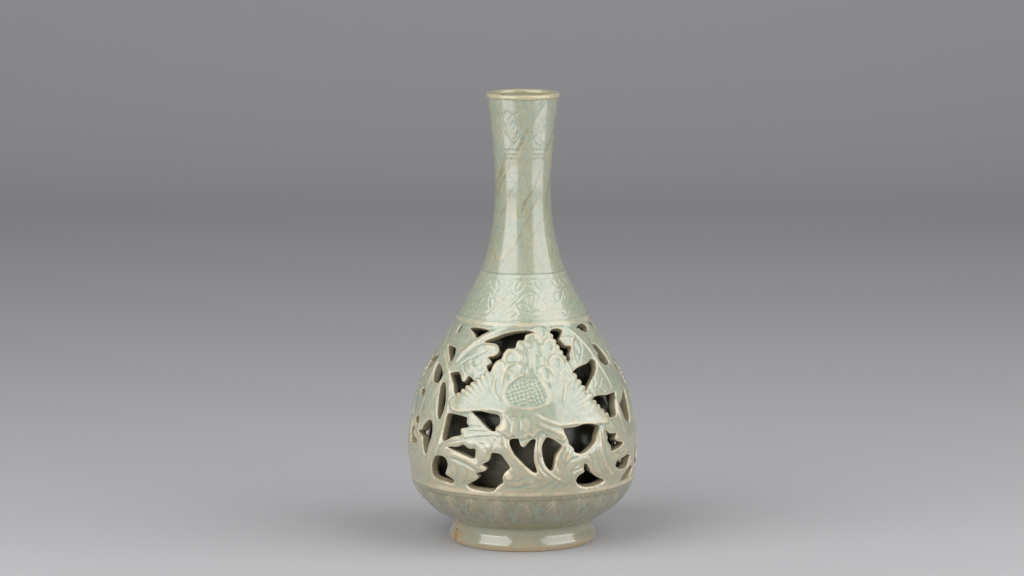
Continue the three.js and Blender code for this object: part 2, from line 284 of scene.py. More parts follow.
def distance_to(path, x, y, closed=False):
    """Distance from points to a path, how far along the path the nearest point is (0 to 1),
    and whether each point is inside a closed path."""
    start = path if closed else path[:-1]
    end = np.roll(path, -1, axis=0) if closed else path[1:]
    run = end - start
    to_x, to_y = x[..., None] - start[:, 0], y[..., None] - start[:, 1]
    length = np.maximum((run ** 2).sum(axis=1), TINY)
    share = np.clip((to_x * run[:, 0] + to_y * run[:, 1]) / length, 0, 1)
    gap = np.hypot(to_x - share * run[:, 0], to_y - share * run[:, 1])
    nearest = gap.argmin(axis=-1)[..., None]
    along = (nearest + np.take_along_axis(share, nearest, -1))[..., 0] / len(start)
    crosses = (start[:, 1] > y[..., None]) != (end[:, 1] > y[..., None])
    rise = np.where(np.abs(run[:, 1]) < TINY, TINY, run[:, 1])
    inside = (crosses & (to_x < to_y * run[:, 0] / rise)).sum(axis=-1) % 2 == 1
    return np.take_along_axis(gap, nearest, -1)[..., 0], along, inside & closed


def smooth_step(value, low, high):
    """0 below low, 1 above high, and an S-curve between them."""
    t = np.clip((value - low) / (high - low), 0, 1)
    return t * t * (3 - 2 * t)


def section(distance, width):
    """Height of a ridge or groove beside its line: exp(-(distance / width)^2)."""
    return np.exp(-(distance / width) ** 2)


def from_nearest(value, turn):
    """How far a value lies from the nearest whole number of turns, for a drawing that repeats."""
    return value - turn * np.round(value / turn)


# %% [markdown]
# ## The cut drawing
#
# A potter draws the scroll on the leather-hard wall, then cuts the ground away between the
# stems. The openings are traced here rather than the stems, because they are what the eye
# reads first. Each outline is bearing in degrees from its blossom's middle, and height in
# hundredths of the openwork wall.

# %% Openings
def scallops(start, end, lobes, swell):
    """Points along a straight edge with round lobes: swell * sin(pi * s) over the share s of each,
    to the left of the way from start to end."""
    start, end = np.array(start, float), np.array(end, float)
    way = end - start
    left = np.array([-way[1], way[0]]) / np.hypot(*way)
    place = np.arange(4 * lobes) / (4 * lobes)
    lift = swell * np.sin(math.pi * (place * lobes % 1))
    return [tuple(point) for point in start + place[:, None] * way + lift[:, None] * left]


AROUND_EACH_BLOSSOM = {
    "under_rim_left": [(-48.5, 95), (-43, 93), (-38, 90.5), (-34, 92.5), (-28.5, 95), (-40, 95.8)],
    "under_arch": [
        (-30, 88.6), (-21.5, 88.3), (-18.6, 87.2), (-17.3, 85.2), (-17.7, 83), (-19.8, 81.6),
        (-24, 80.7), (-21.6, 79), (-21.1, 77.3), (-23.6, 75.6), (-20.6, 72.4), (-19.3, 75.8),
        (-17.6, 78.8), (-14.8, 79.9), (-13.8, 81.6), (-13.2, 83.6), (-11, 85.6), (-7.3, 85.7),
        (-5.6, 86.3), (-4.9, 88.6), (-3.6, 90.1), (-0.2, 90.2), (1.2, 91.2), (1.7, 92.8), (3.4, 93.6),
        (8.6, 94.3), (5, 95.6), (-5, 95.3), (-15, 93.7), (-22, 91.6), (-28, 89.8)],
    "left_of_blossom": [
        (-48.3, 69.7), (-46.5, 67.3), (-43.5, 64.3), (-41.5, 60.2),
        *scallops((-38.8, 57.4), (-29.3, 66.6), 4, 1.3), (-29.3, 66.6), (-31, 68), (-34, 69.4),
        (-35.8, 66.2), (-38, 66.4), (-40, 69), (-43, 71)],
    "under_left_wing": [
        (-41.8, 46.8), (-42.5, 40), (-43.3, 34), (-42.5, 30.5), (-37, 34), (-32.3, 35.5),
        (-32.7, 39), (-28.2, 40.8), (-29.7, 43), (-30, 46), (-36, 47)],
    "left_of_calyx": [
        (-27.5, 49.7), (-23.6, 46.6), (-18, 41), (-15.7, 39.3), (-13.8, 39.4), (-14, 41.2),
        (-11.8, 44), (-12.5, 48.5), (-18, 49.7), (-23, 50.4)],
    "over_curled_leaf": [
        (-39.6, 27.3), (-34.5, 25.5), (-28.5, 23.3), (-24.3, 22.3), (-23.8, 28), (-27, 27.8),
        (-30.5, 30), (-33.5, 28.3)],
    "low_left": [
        (-50.4, 9), (-49, 6.7), (-44, 6), (-37.3, 5.1), (-36.2, 7.5), (-41, 10.5), (-39.8, 14.5),
        (-39.5, 17.5), (-41, 20.3), (-44, 21.2), (-48, 20), (-50.3, 15)],
    "low_middle": [
        (-28.3, 5.5), (-26, 3.3), (-20, 2.5), (-15, 2.6), (-12.5, 5.7), (-9.7, 8.5), (-10, 11.5),
        (-8.7, 15), (-6.4, 18), (-9, 22.8), (-11, 25.7), (-15.3, 26.2), (-16.7, 21.5), (-20, 19),
        (-17.5, 16.7), (-19.5, 14.8), (-23.2, 13.3), (-21.8, 10.8), (-24.3, 8.3)],
    "between_stems": [
        (-6.5, 34.5), (-6.3, 31), (-4.3, 26), (-2, 22.8), (1.5, 18.7), (4.8, 15.3), (6.8, 15.2),
        (5.3, 22), (5.4, 29), (6.2, 34.5), (4, 34.5), (2.3, 32.8), (0.2, 30), (-1.5, 32),
        (-2.5, 35.2)],
    "beside_stem": [
        (9.2, 31), (9.4, 25), (10.4, 20.5), (12.2, 16.8), (14.3, 15.8), (15.2, 19), (16.2, 24.5),
        (19.3, 30), (17, 32.8), (14, 35), (11.5, 35.5)],
    "under_right_wing": [
        (20.8, 40.5), (21.2, 36.8), (22.8, 34), (23, 31.5), (25.2, 28.5), (26, 25.8), (30, 24.6),
        (33.5, 26.5), (37.8, 30.5), (39.5, 34.5), (41.4, 39.3), (36, 41.5), (31, 41.8), (27, 40.7)],
    "low_right": [
        (31.3, 18.5), (30.8, 15.5), (31.3, 13.5), (28, 11.3), (26.7, 8.5), (28.5, 5.5), (33, 3.6),
        (38.5, 3.6), (43.9, 5.8), (38.5, 9.2), (35, 12.7), (33.3, 16.8)],
    "right_of_blossom": [
        *scallops((31.4, 71.6), (36.8, 60.6), 3, 1.5), (36.8, 60.6), (38.8, 62.4), (43, 66),
        (47.5, 69), (51.6, 72.6), (53, 75.8), (50.3, 77.4), (44.5, 75.4), (38.8, 74.7), (34.2, 73.2)],
    "under_rim_right": [
        *scallops((22.2, 93.8), (29.6, 78.6), 5, 1.2), (29.6, 78.6), (30.8, 78.1), (33, 79.3),
        (33.6, 82), (36.8, 85.6), (32.4, 86.6), (30.6, 88.4), (29.2, 90.4), (31.2, 92.4), (34, 94.8),
        (29.5, 96), (24, 95.6)],
}
RIGHT_LEAF_PAIR = [
    *scallops((40, 55), (49.6, 43.9), 4, 1.3), (49.6, 43.9), (51, 43.3),
    (55.6, 43.9), (56.4, 48), (57.6, 51.6), (60.2, 56.4), (52, 56.3), (46.4, 57), (42.4, 56.6)]
RIGHT_HOOK = [
    (45.6, 36.6), (46.5, 32.5), (46, 30), (48.2, 26.5), (48.8, 23.5), (54, 24), (58.7, 26.2),
    (53.5, 28.5), (51.8, 30.5), (53.3, 33.2), (48.5, 34)]
BESIDE_FRONT_BLOSSOM = {
    "left_lens": [
        (-53, 61), (-52, 56), (-50.5, 49), (-49, 44), (-47, 42.8), (-45.7, 48), (-45.7, 54),
        (-48, 60.5), (-50.5, 63.8), (-52.8, 63.5)],
    "left_under_stem": [
        (-67, 72.8), (-66.5, 68.5), (-65, 65.5), (-62, 63), (-56.3, 62.8), (-55, 67.5),
        (-58.5, 70.5), (-62, 72)],
    "left_over_stem": [
        (-65.5, 83.5), (-62, 81), (-57, 78.3), (-54, 75.8), (-52.3, 76.3), (-52, 79),
        (-53.5, 82), (-56, 83.3)],
    "left_sickle": [
        (-65.5, 32.4), (-59.5, 30.3), (-58.8, 27), (-57.7, 23), (-56.5, 20), (-55, 20.8),
        (-53, 27), (-51.7, 32), (-51.8, 38), (-53.5, 40.8), (-56, 40.7), (-60, 37), (-62, 34)],
    "left_nick_high": [(-64, 91.5), (-60.5, 91.2), (-60, 95), (-63.5, 95.3)],
    "left_nick_middle": [(-76.5, 55), (-73, 53), (-68.3, 53.5), (-68.5, 56), (-72, 56.8)],
    "left_nick_low": [(-73, 37.5), (-69, 36), (-66, 38), (-67, 41), (-71, 40)],
    "right_under_rim": [
        (50.4, 95.1), (54, 93.5), (58, 92.2), (62, 91.7), (66.5, 94.7), (60, 96.4), (54, 96.2)],
    "right_slit_high": [
        (59.2, 84.7), (60, 80), (58.3, 75.8), (63, 72.3), (68.5, 72.7), (70, 76), (67.5, 80.5),
        (65, 83.5)],
    "right_leaf_pair": RIGHT_LEAF_PAIR,
    "right_slit": [
        (62.1, 48.9), (63, 44), (64.7, 39.3), (70.3, 37), (72.3, 44), (74, 50.5), (75.8, 55.8),
        (71, 54.3), (66, 51.2)],
    "right_hook": RIGHT_HOOK,
    "right_low": [
        (51.7, 14.3), (53.5, 11.7), (59, 10.4), (63.3, 11.2), (65.3, 14.5), (67.1, 17),
        (63, 18.2), (58, 17.4), (54.5, 17.8)],
    "right_foot": [
        (57.5, 3), (62.5, 2.6), (67.5, 3.5), (71.7, 7.4), (69.5, 10.5), (63.5, 8.6), (60.3, 6)],
}
BLOSSOM_BEARINGS = (0.0, 128.0, -128.0)
CUT_DEPTH = 1.6
WIDEST_SHIFT = 2.0


def turned_by(outline, bearing, depth=0.0):
    """The drawing turned to a bearing, each point moved by depth * tan(bearing) / radius.

    It was traced from the front on the uncut face. A mark that lies deeper looks closer to
    the middle than it is, and this shift undoes that."""
    points = np.array(outline, float)
    shift = np.degrees(depth * np.tan(np.radians(points[:, 0])) / RING_RADII.max())
    points[:, 0] += bearing + np.clip(shift, -WIDEST_SHIFT, WIDEST_SHIFT)
    return points


openings = [turned_by(outline, bearing, CUT_DEPTH) for bearing in BLOSSOM_BEARINGS
            for outline in AROUND_EACH_BLOSSOM.values()]
openings += [turned_by(outline, 0, CUT_DEPTH) for outline in BESIDE_FRONT_BLOSSOM.values()]
openings += [turned_by(RIGHT_LEAF_PAIR, BLOSSOM_BEARINGS[1], CUT_DEPTH)]
openings += [turned_by(RIGHT_HOOK, bearing, CUT_DEPTH) for bearing in BLOSSOM_BEARINGS[1:]]
print(len(openings), "openings")

# %% [markdown]
# ## A map of the wall without stretch
#
# The wall is narrow at the top and wide at the belly, so a grid of equal degrees and equal
# heights has thin cells in one place and fat ones in another. Climbing the wall in steps of
# the local radius times one bearing step gives cells that are square everywhere. `climb` is
# that coordinate: the path along the profile divided by the radius.

# %% Climb coordinate
COLUMNS = 780
BEARING_STEP = 2 * math.pi / COLUMNS
FINE_STEP = 0.05

fine_z = np.arange(OPENWORK_BOTTOM, SHOULDER_BOTTOM + FINE_STEP / 2, FINE_STEP)
climb_rate = np.hypot(1, shell_slope(fine_z)) / shell_radius(fine_z)
fine_climb = np.concatenate([[0], np.cumsum((climb_rate[1:] + climb_rate[:-1]) / 2 * FINE_STEP)])
ROWS = int(round(fine_climb[-1] / BEARING_STEP)) + 1


def height_of(climb):
    """Height in mm at a climb."""
    return np.interp(climb, fine_climb, fine_z)


def on_map(points):
    """Bearing (radians) and climb of points given in degrees and hundredths of the wall."""
    z = OPENWORK_BOTTOM + points[:, 1] / 100 * OPENWORK_HEIGHT
    return np.stack([np.radians(points[:, 0]), np.interp(z, fine_z, fine_climb)], axis=1)


bearing_grid, climb_grid = np.meshgrid(
    np.arange(COLUMNS) * BEARING_STEP - math.pi, np.linspace(0, fine_climb[-1], ROWS))
z_grid = height_of(climb_grid)
radius_grid = shell_radius(z_grid)
print("wall grid", ROWS, "by", COLUMNS, "with cells of", (radius_grid.min() * BEARING_STEP).round(2),
      "to", (radius_grid.max() * BEARING_STEP).round(2), "mm")


def near(path, reach, closed=False):
    """The part of the grid within reach (mm) of a path on the map.

    Returns its rows and columns for indexing, and each point's distance to the path in mm,
    its place along the path and whether it is inside."""
    margin = reach / radius_grid.min()
    low, high = path.min(axis=0) - margin, path.max(axis=0) + margin
    first, last = max(0, int(low[1] / BEARING_STEP)), min(ROWS, int(high[1] / BEARING_STEP) + 2)
    rows = np.arange(first, last)[:, None]
    first, last = int((low[0] + math.pi) // BEARING_STEP), int((high[0] + math.pi) // BEARING_STEP)
    columns = np.arange(first, last + 2)[None, :]
    x = columns * BEARING_STEP - math.pi + 0 * rows
    y = climb_grid[rows, 0] + 0 * columns
    distance, along, inside = distance_to(path, x, y, closed)
    return (rows, columns % COLUMNS), distance * radius_grid[rows, 0], along, inside


# %% [markdown]
# ## Where the clay is
#
# Each grid point gets its distance to the nearest opening, negative inside one. Boolean
# cutters would also pierce the wall, but their edges are sharp, and under glaze every edge
# is round. Both the cut and the rounding of the stems follow from this one number.

# %% Distance to the openings
FAR = 8.0

edge_distance = np.full((ROWS, COLUMNS), FAR)
for outline in openings:
    window, distance, _, inside = near(on_map(smooth_path(outline, closed=True)), FAR, closed=True)
    edge_distance[window] = np.minimum(edge_distance[window], np.where(inside, -distance, distance))
print("share of the wall cut away:", (edge_distance < 0).mean().round(3))

# %% [markdown]
# ## Carving the blossoms
#
# A blossom lies on top of its leaves: its scalloped outline is a small step, its petals are
# fanned by grooves, and the edges of the inner petals and of the seed pod, which is open at
# the top, are raised lines on which the glaze runs thin. It could be sculpted by hand, but
# strokes that are written down can be moved, and they repeat on each blossom. A stroke is a
# height or depth, a width and the path of the tool. A hollow is an oval.

# %% Blossom drawing
BLOSSOM_OUTLINE = [
    (13, 97.5), (8, 96), (3.5, 94), (1.5, 92.6), (0.8, 90.6), (-3.6, 90), (-5, 87.6), (-7, 85.8),
    (-11, 85.6), (-13.4, 83), (-14.6, 80.2), (-17.6, 78.8), (-19.6, 75.6),
    *scallops((-20.8, 72.8), (-40.7, 57.2), 7, -1.3), (-40.7, 57.2), (-43, 53.5), (-41, 49.5),
    (-36, 48.2), (-28, 49.2), (-20, 50.8), (-12, 49.5), (-11.5, 44), (-13.5, 40), (-9, 37.4),
    (-7, 35.4), (-5, 37), (-3, 35), (0.5, 35), (2.8, 37), (5, 35.6), (7, 38), (9, 39.5), (16, 35),
    (21, 33), (22.5, 36.5), (20, 41), (28, 41.6), (36, 41.2), (44, 40.5), (49.5, 41), (48, 46),
    *scallops((45, 50.2), (32.8, 70.4), 7, -1.4), (32.6, 72.8),
    *scallops((30.8, 77.8), (23.2, 93.4), 5, -1.3), (23.2, 93.4)]

# height in mm (negative is a groove), width in mm, path of the tool
BLOSSOM_STROKES = [
    # tips of the upper petals, from the left round to the right
    (0.34, 0.75, [(-19, 72.5), (-18.4, 76.2), (-16, 78), (-13.4, 77.6), (-11.9, 75), (-11.9, 70),
                  (-12.3, 64)]),
    (0.44, 0.85, [(-12.8, 80), (-12.1, 83), (-10, 84.5), (-6.8, 84.8), (-3.6, 83.2), (-1.9, 80.6),
                  (-1.9, 78.4)]),
    (0.34, 0.85, [(-4.4, 87.6), (-2.8, 89), (-0.2, 89.3), (2.6, 88.4), (4, 86)]),
    (0.34, 0.85, [(2.2, 91.2), (4, 92.5), (7, 93.2), (10, 93), (11.6, 91), (11.4, 88)]),
    (0.34, 0.80, [(10.2, 90), (10.6, 94), (12.2, 96.6)]),
    (0.42, 0.85, [(19.6, 97), (21, 95), (20.8, 92.6), (19.8, 91)]),
    (0.40, 0.90, [(15.6, 85.4), (16.3, 88.6), (18.8, 90), (21.8, 90), (23.8, 88.6), (22.8, 85.6),
                  (20.4, 83.4)]),
    (0.28, 0.80, [(14.8, 88), (14.2, 85.6), (12.9, 83.4), (13.2, 81)]),
    (0.44, 0.90, [(17.8, 75), (17.6, 77.8), (18.7, 79.8), (20.9, 81.2), (23.6, 81), (25.7, 79.4),
                  (26.6, 77.4), (26.3, 74.6)]),
    (0.30, 1.10, [(5.6, 86.2), (5.6, 80), (5.5, 74)]),
    # the curled inner petals on both sides of the pod
    (0.34, 0.75, [(-9.9, 70.6), (-10.6, 73.6), (-9.8, 76), (-7, 77.4), (-4, 77.6), (-2, 76.2),
                  (-1, 72.8)]),
    (0.42, 0.75, [(12.6, 68), (11.4, 70.6), (10.8, 72.8), (11.4, 74.6), (13.2, 75.3), (15.5, 74.8),
                  (17.4, 73.2), (18.6, 71), (17.8, 69.4)]),
    (0.30, 0.70, [(12, 69.4), (13.2, 67.6), (15.8, 66.4)]),
    # the two long petals that rise from under the pod
    (0.40, 0.85, [(-16.6, 70), (-17.1, 67), (-16.8, 64), (-15.9, 61.2), (-14.2, 58.6), (-11.9, 56.8)]),
    (-0.30, 0.55, [(-17.6, 71.6), (-18.1, 68), (-17.9, 64.8)]),
    (0.42, 0.85, [(30.8, 68.2), (27.9, 66.6), (25.8, 64.8), (24.3, 62.6), (23.3, 60), (22.6, 57.6),
                  (21.4, 54.8)]),
    (-0.34, 0.55, [(30.4, 66.6), (27.6, 65.2), (25.8, 63.4)]),
    (0.30, 0.80, [(21.9, 70), (23.8, 72.2), (26.7, 73.4), (29.4, 72.6)]),
    # folds that fan out over the two wings to their scalloped edges
    (-0.36, 0.62, [(-24.6, 72), (-21, 66.5), (-17.5, 59)]),
    (-0.36, 0.62, [(-27.6, 69.8), (-23.5, 64.6), (-18.4, 58.4)]),
    (-0.36, 0.62, [(-30.4, 67.6), (-25.5, 62.8), (-19.5, 57.6)]),
    (-0.36, 0.62, [(-33.4, 65.4), (-27.5, 61), (-20.5, 56.8)]),
    (-0.34, 0.62, [(-36.2, 63.2), (-29.5, 59.2), (-21.5, 56)]),
    (-0.32, 0.62, [(-39, 60.8), (-31.5, 57.4), (-22.5, 55)]),
    (-0.16, 1.10, [(-41, 54), (-32, 53), (-23, 52.4)]),
    (-0.34, 0.62, [(35.2, 68.2), (31.4, 65.2), (28.6, 61.8)]),
    (-0.34, 0.62, [(37, 65.4), (31.8, 61.6), (27, 57.4)]),
    (-0.34, 0.62, [(38.8, 62.6), (32.4, 59), (26, 54.6)]),
    (-0.32, 0.62, [(40.6, 59.6), (33.4, 56.6), (25.6, 52.8)]),
    (-0.30, 0.62, [(42.4, 56.6), (34.4, 54), (26, 51)]),
    (-0.28, 0.62, [(44.2, 53.6), (35.4, 51.6), (26, 49.4)]),
    (-0.18, 1.00, [(46.5, 49), (37, 47.6), (27, 46.6)]),
    # lower rim of the wings and the sepals of the calyx
    (0.42, 0.90, [(4, 50), (8, 47.8), (13, 44.8), (20, 42.4), (28, 42.6), (36, 41.9), (45, 41)]),
    (0.36, 0.80, [(-8, 50.4), (-18, 51.3), (-28, 50), (-38, 49), (-42.5, 51.5)]),
    (0.40, 0.80, [(7, 44.5), (12, 41.5), (17.5, 38.5), (21.8, 35.5)]),
    (-0.36, 0.70, [(6.5, 42.5), (12, 39), (17, 36.2), (21, 33.4)]),
    (-0.28, 0.60, [(-13, 46.6), (-9, 47.4), (-6.8, 44), (-6.6, 38)]),
    (-0.28, 0.60, [(-7, 47), (-3, 47.8), (-1.6, 43.6), (-1.8, 38)]),
    (-0.28, 0.60, [(-1.4, 47.2), (2.6, 47.6), (4, 43.6), (3.8, 38.6)]),
    (0.34, 0.75, [(-2.6, 36.4), (-2.5, 33.4), (-0.9, 31.4), (0.9, 32), (1.8, 34.6), (1.6, 36.4)]),
]

# middle (degrees, hundredths), half width (degrees), half height (hundredths), depth (mm)
BLOSSOM_HOLLOWS = [
    (-8.1, 80.2, 3.9, 3.5, 0.34),
    (-14.9, 73.6, 1.8, 3.4, 0.16),
    (-6.6, 74.6, 2.8, 2.2, 0.26),
    (-8.2, 69.6, 2.0, 1.9, 0.28),
    (0.4, 79.6, 1.8, 2.8, 0.26),
    (1.4, 73.6, 1.9, 2.4, 0.24),
    (-2.4, 85.2, 2.2, 1.8, 0.16),
    (10.7, 86, 2.9, 3.2, 0.38),
    (8.9, 79.6, 1.9, 2.7, 0.28),
    (8.4, 73.6, 1.8, 2.2, 0.26),
    (13.6, 79, 1.7, 2.2, 0.18),
    (16, 94.7, 2.6, 3.0, 0.42),
    (19.2, 86.4, 2.5, 2.6, 0.30),
    (22.3, 77.2, 2.5, 2.9, 0.40),
    (14.4, 71.6, 2.0, 2.8, 0.44),
    (14.8, 65.2, 1.3, 2.4, 0.40),
    (27.3, 70.6, 2.4, 2.0, 0.20),
    (28.6, 61.6, 3.0, 2.6, 0.26),
    (-0.2, 34.2, 1.1, 1.8, 0.24),
    (-9.8, 42.4, 2.8, 3.6, -0.20),
    (-4.4, 41.8, 2.1, 4.6, -0.14),
    (1.2, 42.8, 2.4, 4.2, -0.18),
]
POD_RIM = [
    (-1.4, 70.9), (-4.2, 69.4), (-7, 67.2), (-9.2, 64.8), (-10.4, 62), (-10.4, 59.4), (-9.2, 56.8),
    (-7.2, 54.8), (-4.6, 53.4), (-1.8, 52.8), (1.2, 52.5), (5.5, 52.5), (9.2, 53.4), (12.2, 55.2),
    (13.9, 57.6), (14.2, 60.2), (13.2, 63), (12, 65.6), (10.8, 68.2), (9, 70.8)]
SEED_PITCH = (2.5, 2.3)
print("each blossom:", len(BLOSSOM_STROKES), "strokes and", len(BLOSSOM_HOLLOWS), "hollows")

# %% [markdown]
# The leaves between the blossoms have raised midribs and veins cut with the same tool.
# Stems get a ridge, or the two grooves of a twisted stem.

# %% Leaf drawing
LEAF_STROKES = [
    (0.45, 1.40, [(-51, 71), (-46.5, 80.5), (-39, 87.5), (-30, 92), (-20, 95.2), (-8, 96.8)]),
    (-0.45, 0.60, [(-47, 76), (-42, 81.5), (-36, 85.8), (-30, 88.2)]),
    (-0.35, 0.60, [(-46, 73), (-39, 78), (-31, 81.5), (-25.5, 84)]),
    (-0.30, 0.60, [(-37, 79), (-33, 75), (-28, 73), (-25.5, 75.5)]),
    (-0.30, 0.60, [(-42, 75.5), (-38.5, 71.5), (-35.5, 70)]),
    (0.40, 0.90, [(-29, 86.3), (-24, 86.3), (-20, 85.5)]),
    (0.35, 0.90, [(-9, 37.5), (-14, 37.8), (-19, 40.2), (-24, 44.8), (-28.5, 48.3)]),
    (-0.35, 0.60, [(-14, 36), (-21, 35.5), (-28, 34), (-35, 32.6), (-41.5, 30)]),
    (-0.30, 0.60, [(-19, 38.2), (-25, 38.4), (-31, 37.4)]),
    (-0.30, 0.60, [(-21.5, 41), (-25.5, 41.3), (-28.5, 41)]),
    (-0.30, 0.65, [(-24.5, 34), (-19, 34.2), (-15, 31.5), (-15.2, 28.5)]),
    (-0.25, 0.60, [(-22.5, 31.5), (-19.5, 31), (-19, 27)]),
    (0.50, 1.30, [(-39.5, 24.8), (-33, 23), (-27, 20.8), (-22.5, 18.3)]),
    (-0.45, 0.60, [(-40, 21.5), (-33.5, 20), (-27.5, 17.6), (-23.5, 15)]),
    (-0.30, 0.60, [(-36, 19), (-34.5, 12.5), (-34.2, 4.5)]),
    (-0.30, 0.60, [(-30.5, 17.5), (-28.5, 12), (-31, 5)]),
    (0.55, 0.85, [(-9.6, 37.5), (-8.2, 33), (-7, 29), (-4.2, 24.2), (-0.2, 19.5), (3.8, 14.6),
                  (8.6, 11.4)]),
    (0.45, 0.60, [(7.3, 38), (6.4, 33), (6.2, 27), (6.6, 21.5), (8.2, 16.5), (11.5, 12.4)]),
    (-0.40, 0.42, [(8.2, 38), (7.3, 32), (7.2, 26), (7.9, 20.4), (10, 15.6), (13.6, 11.6)]),
    (0.50, 0.65, [(9.8, 37.5), (8.6, 32.6), (8.2, 25), (9.5, 19.4), (12.8, 14.6), (17, 10.6),
                  (20.5, 8.2)]),
    (-0.30, 0.60, [(-9.5, 11), (-4, 9.5), (1, 11.5), (4, 13.5)]),
    (-0.30, 0.65, [(-11, 5), (-3, 5.5), (4, 7.5), (11, 10)]),
    (-0.30, 0.65, [(0, 2.5), (7, 3.5), (13, 7), (18, 12)]),
    (-0.30, 0.65, [(14, 2.5), (18.5, 7), (20, 14), (21, 20)]),
    (-0.30, 0.65, [(21, 3), (24, 9), (24.5, 15), (28.5, 19)]),
    (0.48, 0.85, [(20.6, 31.5), (18.6, 28), (16.8, 22.5), (16.2, 17.5), (17.5, 13)]),
    (0.40, 0.90, [(11.6, 37), (15, 34), (19.8, 30.6)]),
    (-0.30, 0.60, [(18.5, 13), (20, 20), (22.2, 26), (23.5, 30)]),
    (-0.30, 0.60, [(20, 18), (24, 21.5), (28.5, 22.5)]),
    (-0.30, 0.60, [(24, 14), (28.5, 15.5), (30.5, 17)]),
    (0.50, 1.00, [(42.6, 38), (41.8, 31), (42.2, 24), (45.5, 15.5), (51, 8)]),
    (-0.35, 0.60, [(39.5, 29), (39, 22), (41, 15), (46, 8)]),
    (-0.35, 0.60, [(45, 28), (45.6, 22), (49, 15.5)]),
    (-0.30, 0.60, [(34, 24), (36.5, 19), (37.5, 13.5)]),
    (0.40, 0.80, [(46, 91.5), (41, 89.3), (37.8, 84.5), (36.4, 79.5), (35.8, 76)]),
    (-0.30, 0.60, [(42, 91), (36.5, 91.8), (32.5, 91.5)]),
    (-0.30, 0.60, [(47, 89), (46, 83.5), (42, 79.5), (39, 76.5)]),
    (0.40, 0.90, [(36, 97), (43.5, 93.5), (49.5, 88), (54.5, 80.5), (57, 72), (59.5, 62), (61, 52)]),
    (-0.30, 0.60, [(36.5, 58.8), (42, 60.5), (49, 62.5), (54, 68)]),
    (-0.25, 0.60, [(44, 61.5), (46, 64.5), (47, 67)]),
    (-0.25, 0.60, [(47, 61.8), (50, 60), (52.5, 57.5)]),
    (0.35, 0.90, [(-44.2, 57), (-43.6, 48), (-44.6, 38), (-46.5, 29), (-49, 21.5), (-52.5, 13)]),
    (-0.35, 0.60, [(-52.5, 44), (-50.5, 38), (-49, 32), (-48.5, 25)]),
    (0.35, 0.90, [(-71, 81.5), (-61, 76.5), (-53.5, 71.5), (-48.5, 66), (-44.8, 59)]),
    (-0.35, 0.65, [(-55.5, 60), (-56, 53), (-54.5, 46)]),
    (-0.30, 0.65, [(-61, 60), (-62, 52), (-59, 44)]),
    (0.35, 0.90, [(61.5, 55), (60.2, 46), (61.5, 38), (62.5, 32)]),
    (-0.30, 0.60, [(52, 41.5), (56, 37), (59, 31)]),
    (-0.30, 0.60, [(54, 22), (57.5, 20.5), (62, 21.5)]),
]
LEAF_HOLLOWS = [
    (-7.2, 12.8, 2.4, 4.0, -0.34),
    (-32.5, 78, 5.0, 3.6, 0.20),
    (-27.5, 36.2, 3.4, 2.0, 0.14),
    (-13.0, 34.2, 2.2, 1.9, 0.16),
    (-2.6, 8.4, 2.6, 3.6, -0.20),
    (4.4, 7.4, 2.8, 3.2, -0.20),
    (22.0, 24.5, 2.9, 4.4, -0.18),
    (50.5, 60.0, 3.4, 2.6, 0.16),
    (41.5, 83.5, 2.6, 3.4, 0.16),
    (-57.5, 50.5, 2.4, 5.5, 0.16),
]
print("its leaves:", len(LEAF_STROKES), "strokes and", len(LEAF_HOLLOWS), "hollows")

# %% [markdown]
# ## Depth of the carving
#
# The pieces of the drawing add up to one depth for each grid point. Leaves lie about a
# millimetre under the turned face and the blossom above them, so the blossom stands proud
# and the whole wall stays inside its solid. The knife also rounds every stem towards its
# openings: that sink dies away with the distance from the nearest one.

# %% Carving depth
RIM_LEVEL = 0.15
LOW_RIM_FADE = (0.2, 6.5)
HIGH_RIM_FADE = (2.0, 4.2)
LEAF_LEVEL = 1.05
BLOSSOM_LEVEL = 0.58
BLOSSOM_EDGE = (-0.7, 0.5)
BLOSSOM_GROOVE = 0.30
EDGE_SINK = 0.80
EDGE_SINK_REACH = 2.0
SEAM_GROOVE = 0.30
SEAM_GROOVE_WIDTH = 0.55
SOFT_FLOOR = 0.25
POD_RIM_HEIGHT = 0.46
POD_RIM_WIDTH = 0.85
POD_GROOVE = 0.16
SEED_BED = 0.36
SEED_HEIGHT = 0.26
SEEDS_FADE = (68, 74)


def add_strokes(depth, strokes, bearing):
    """Ridges and grooves with a rounded section. Each fades out towards its ends: its height is
    taken min(1, 6 * share + 0.12) times at a share of the path from the nearer end."""
    for height, width, points in strokes:
        window, distance, along, _ = near(on_map(smooth_path(turned_by(points, bearing))), 3 * width)
        fade = np.minimum(1, 6 * np.minimum(along, 1 - along) + 0.12)
        depth[window] -= height * fade * section(distance, width)


def add_hollows(depth, hollows, bearing):
    """Oval hollows thumbed into petals and leaves. A negative depth makes a bud instead."""
    turn = np.linspace(0, 2 * math.pi, 28, endpoint=False)
    for middle, height, half_width, half_height, hollow in hollows:
        oval = np.stack([middle + bearing + half_width * np.sin(turn),
                         height + half_height * np.cos(turn)], axis=1)
        window, distance, _, inside = near(on_map(oval), 2.5, closed=True)
        depth[window] += np.where(inside, hollow * smooth_step(distance, 0, 1.6), 0)


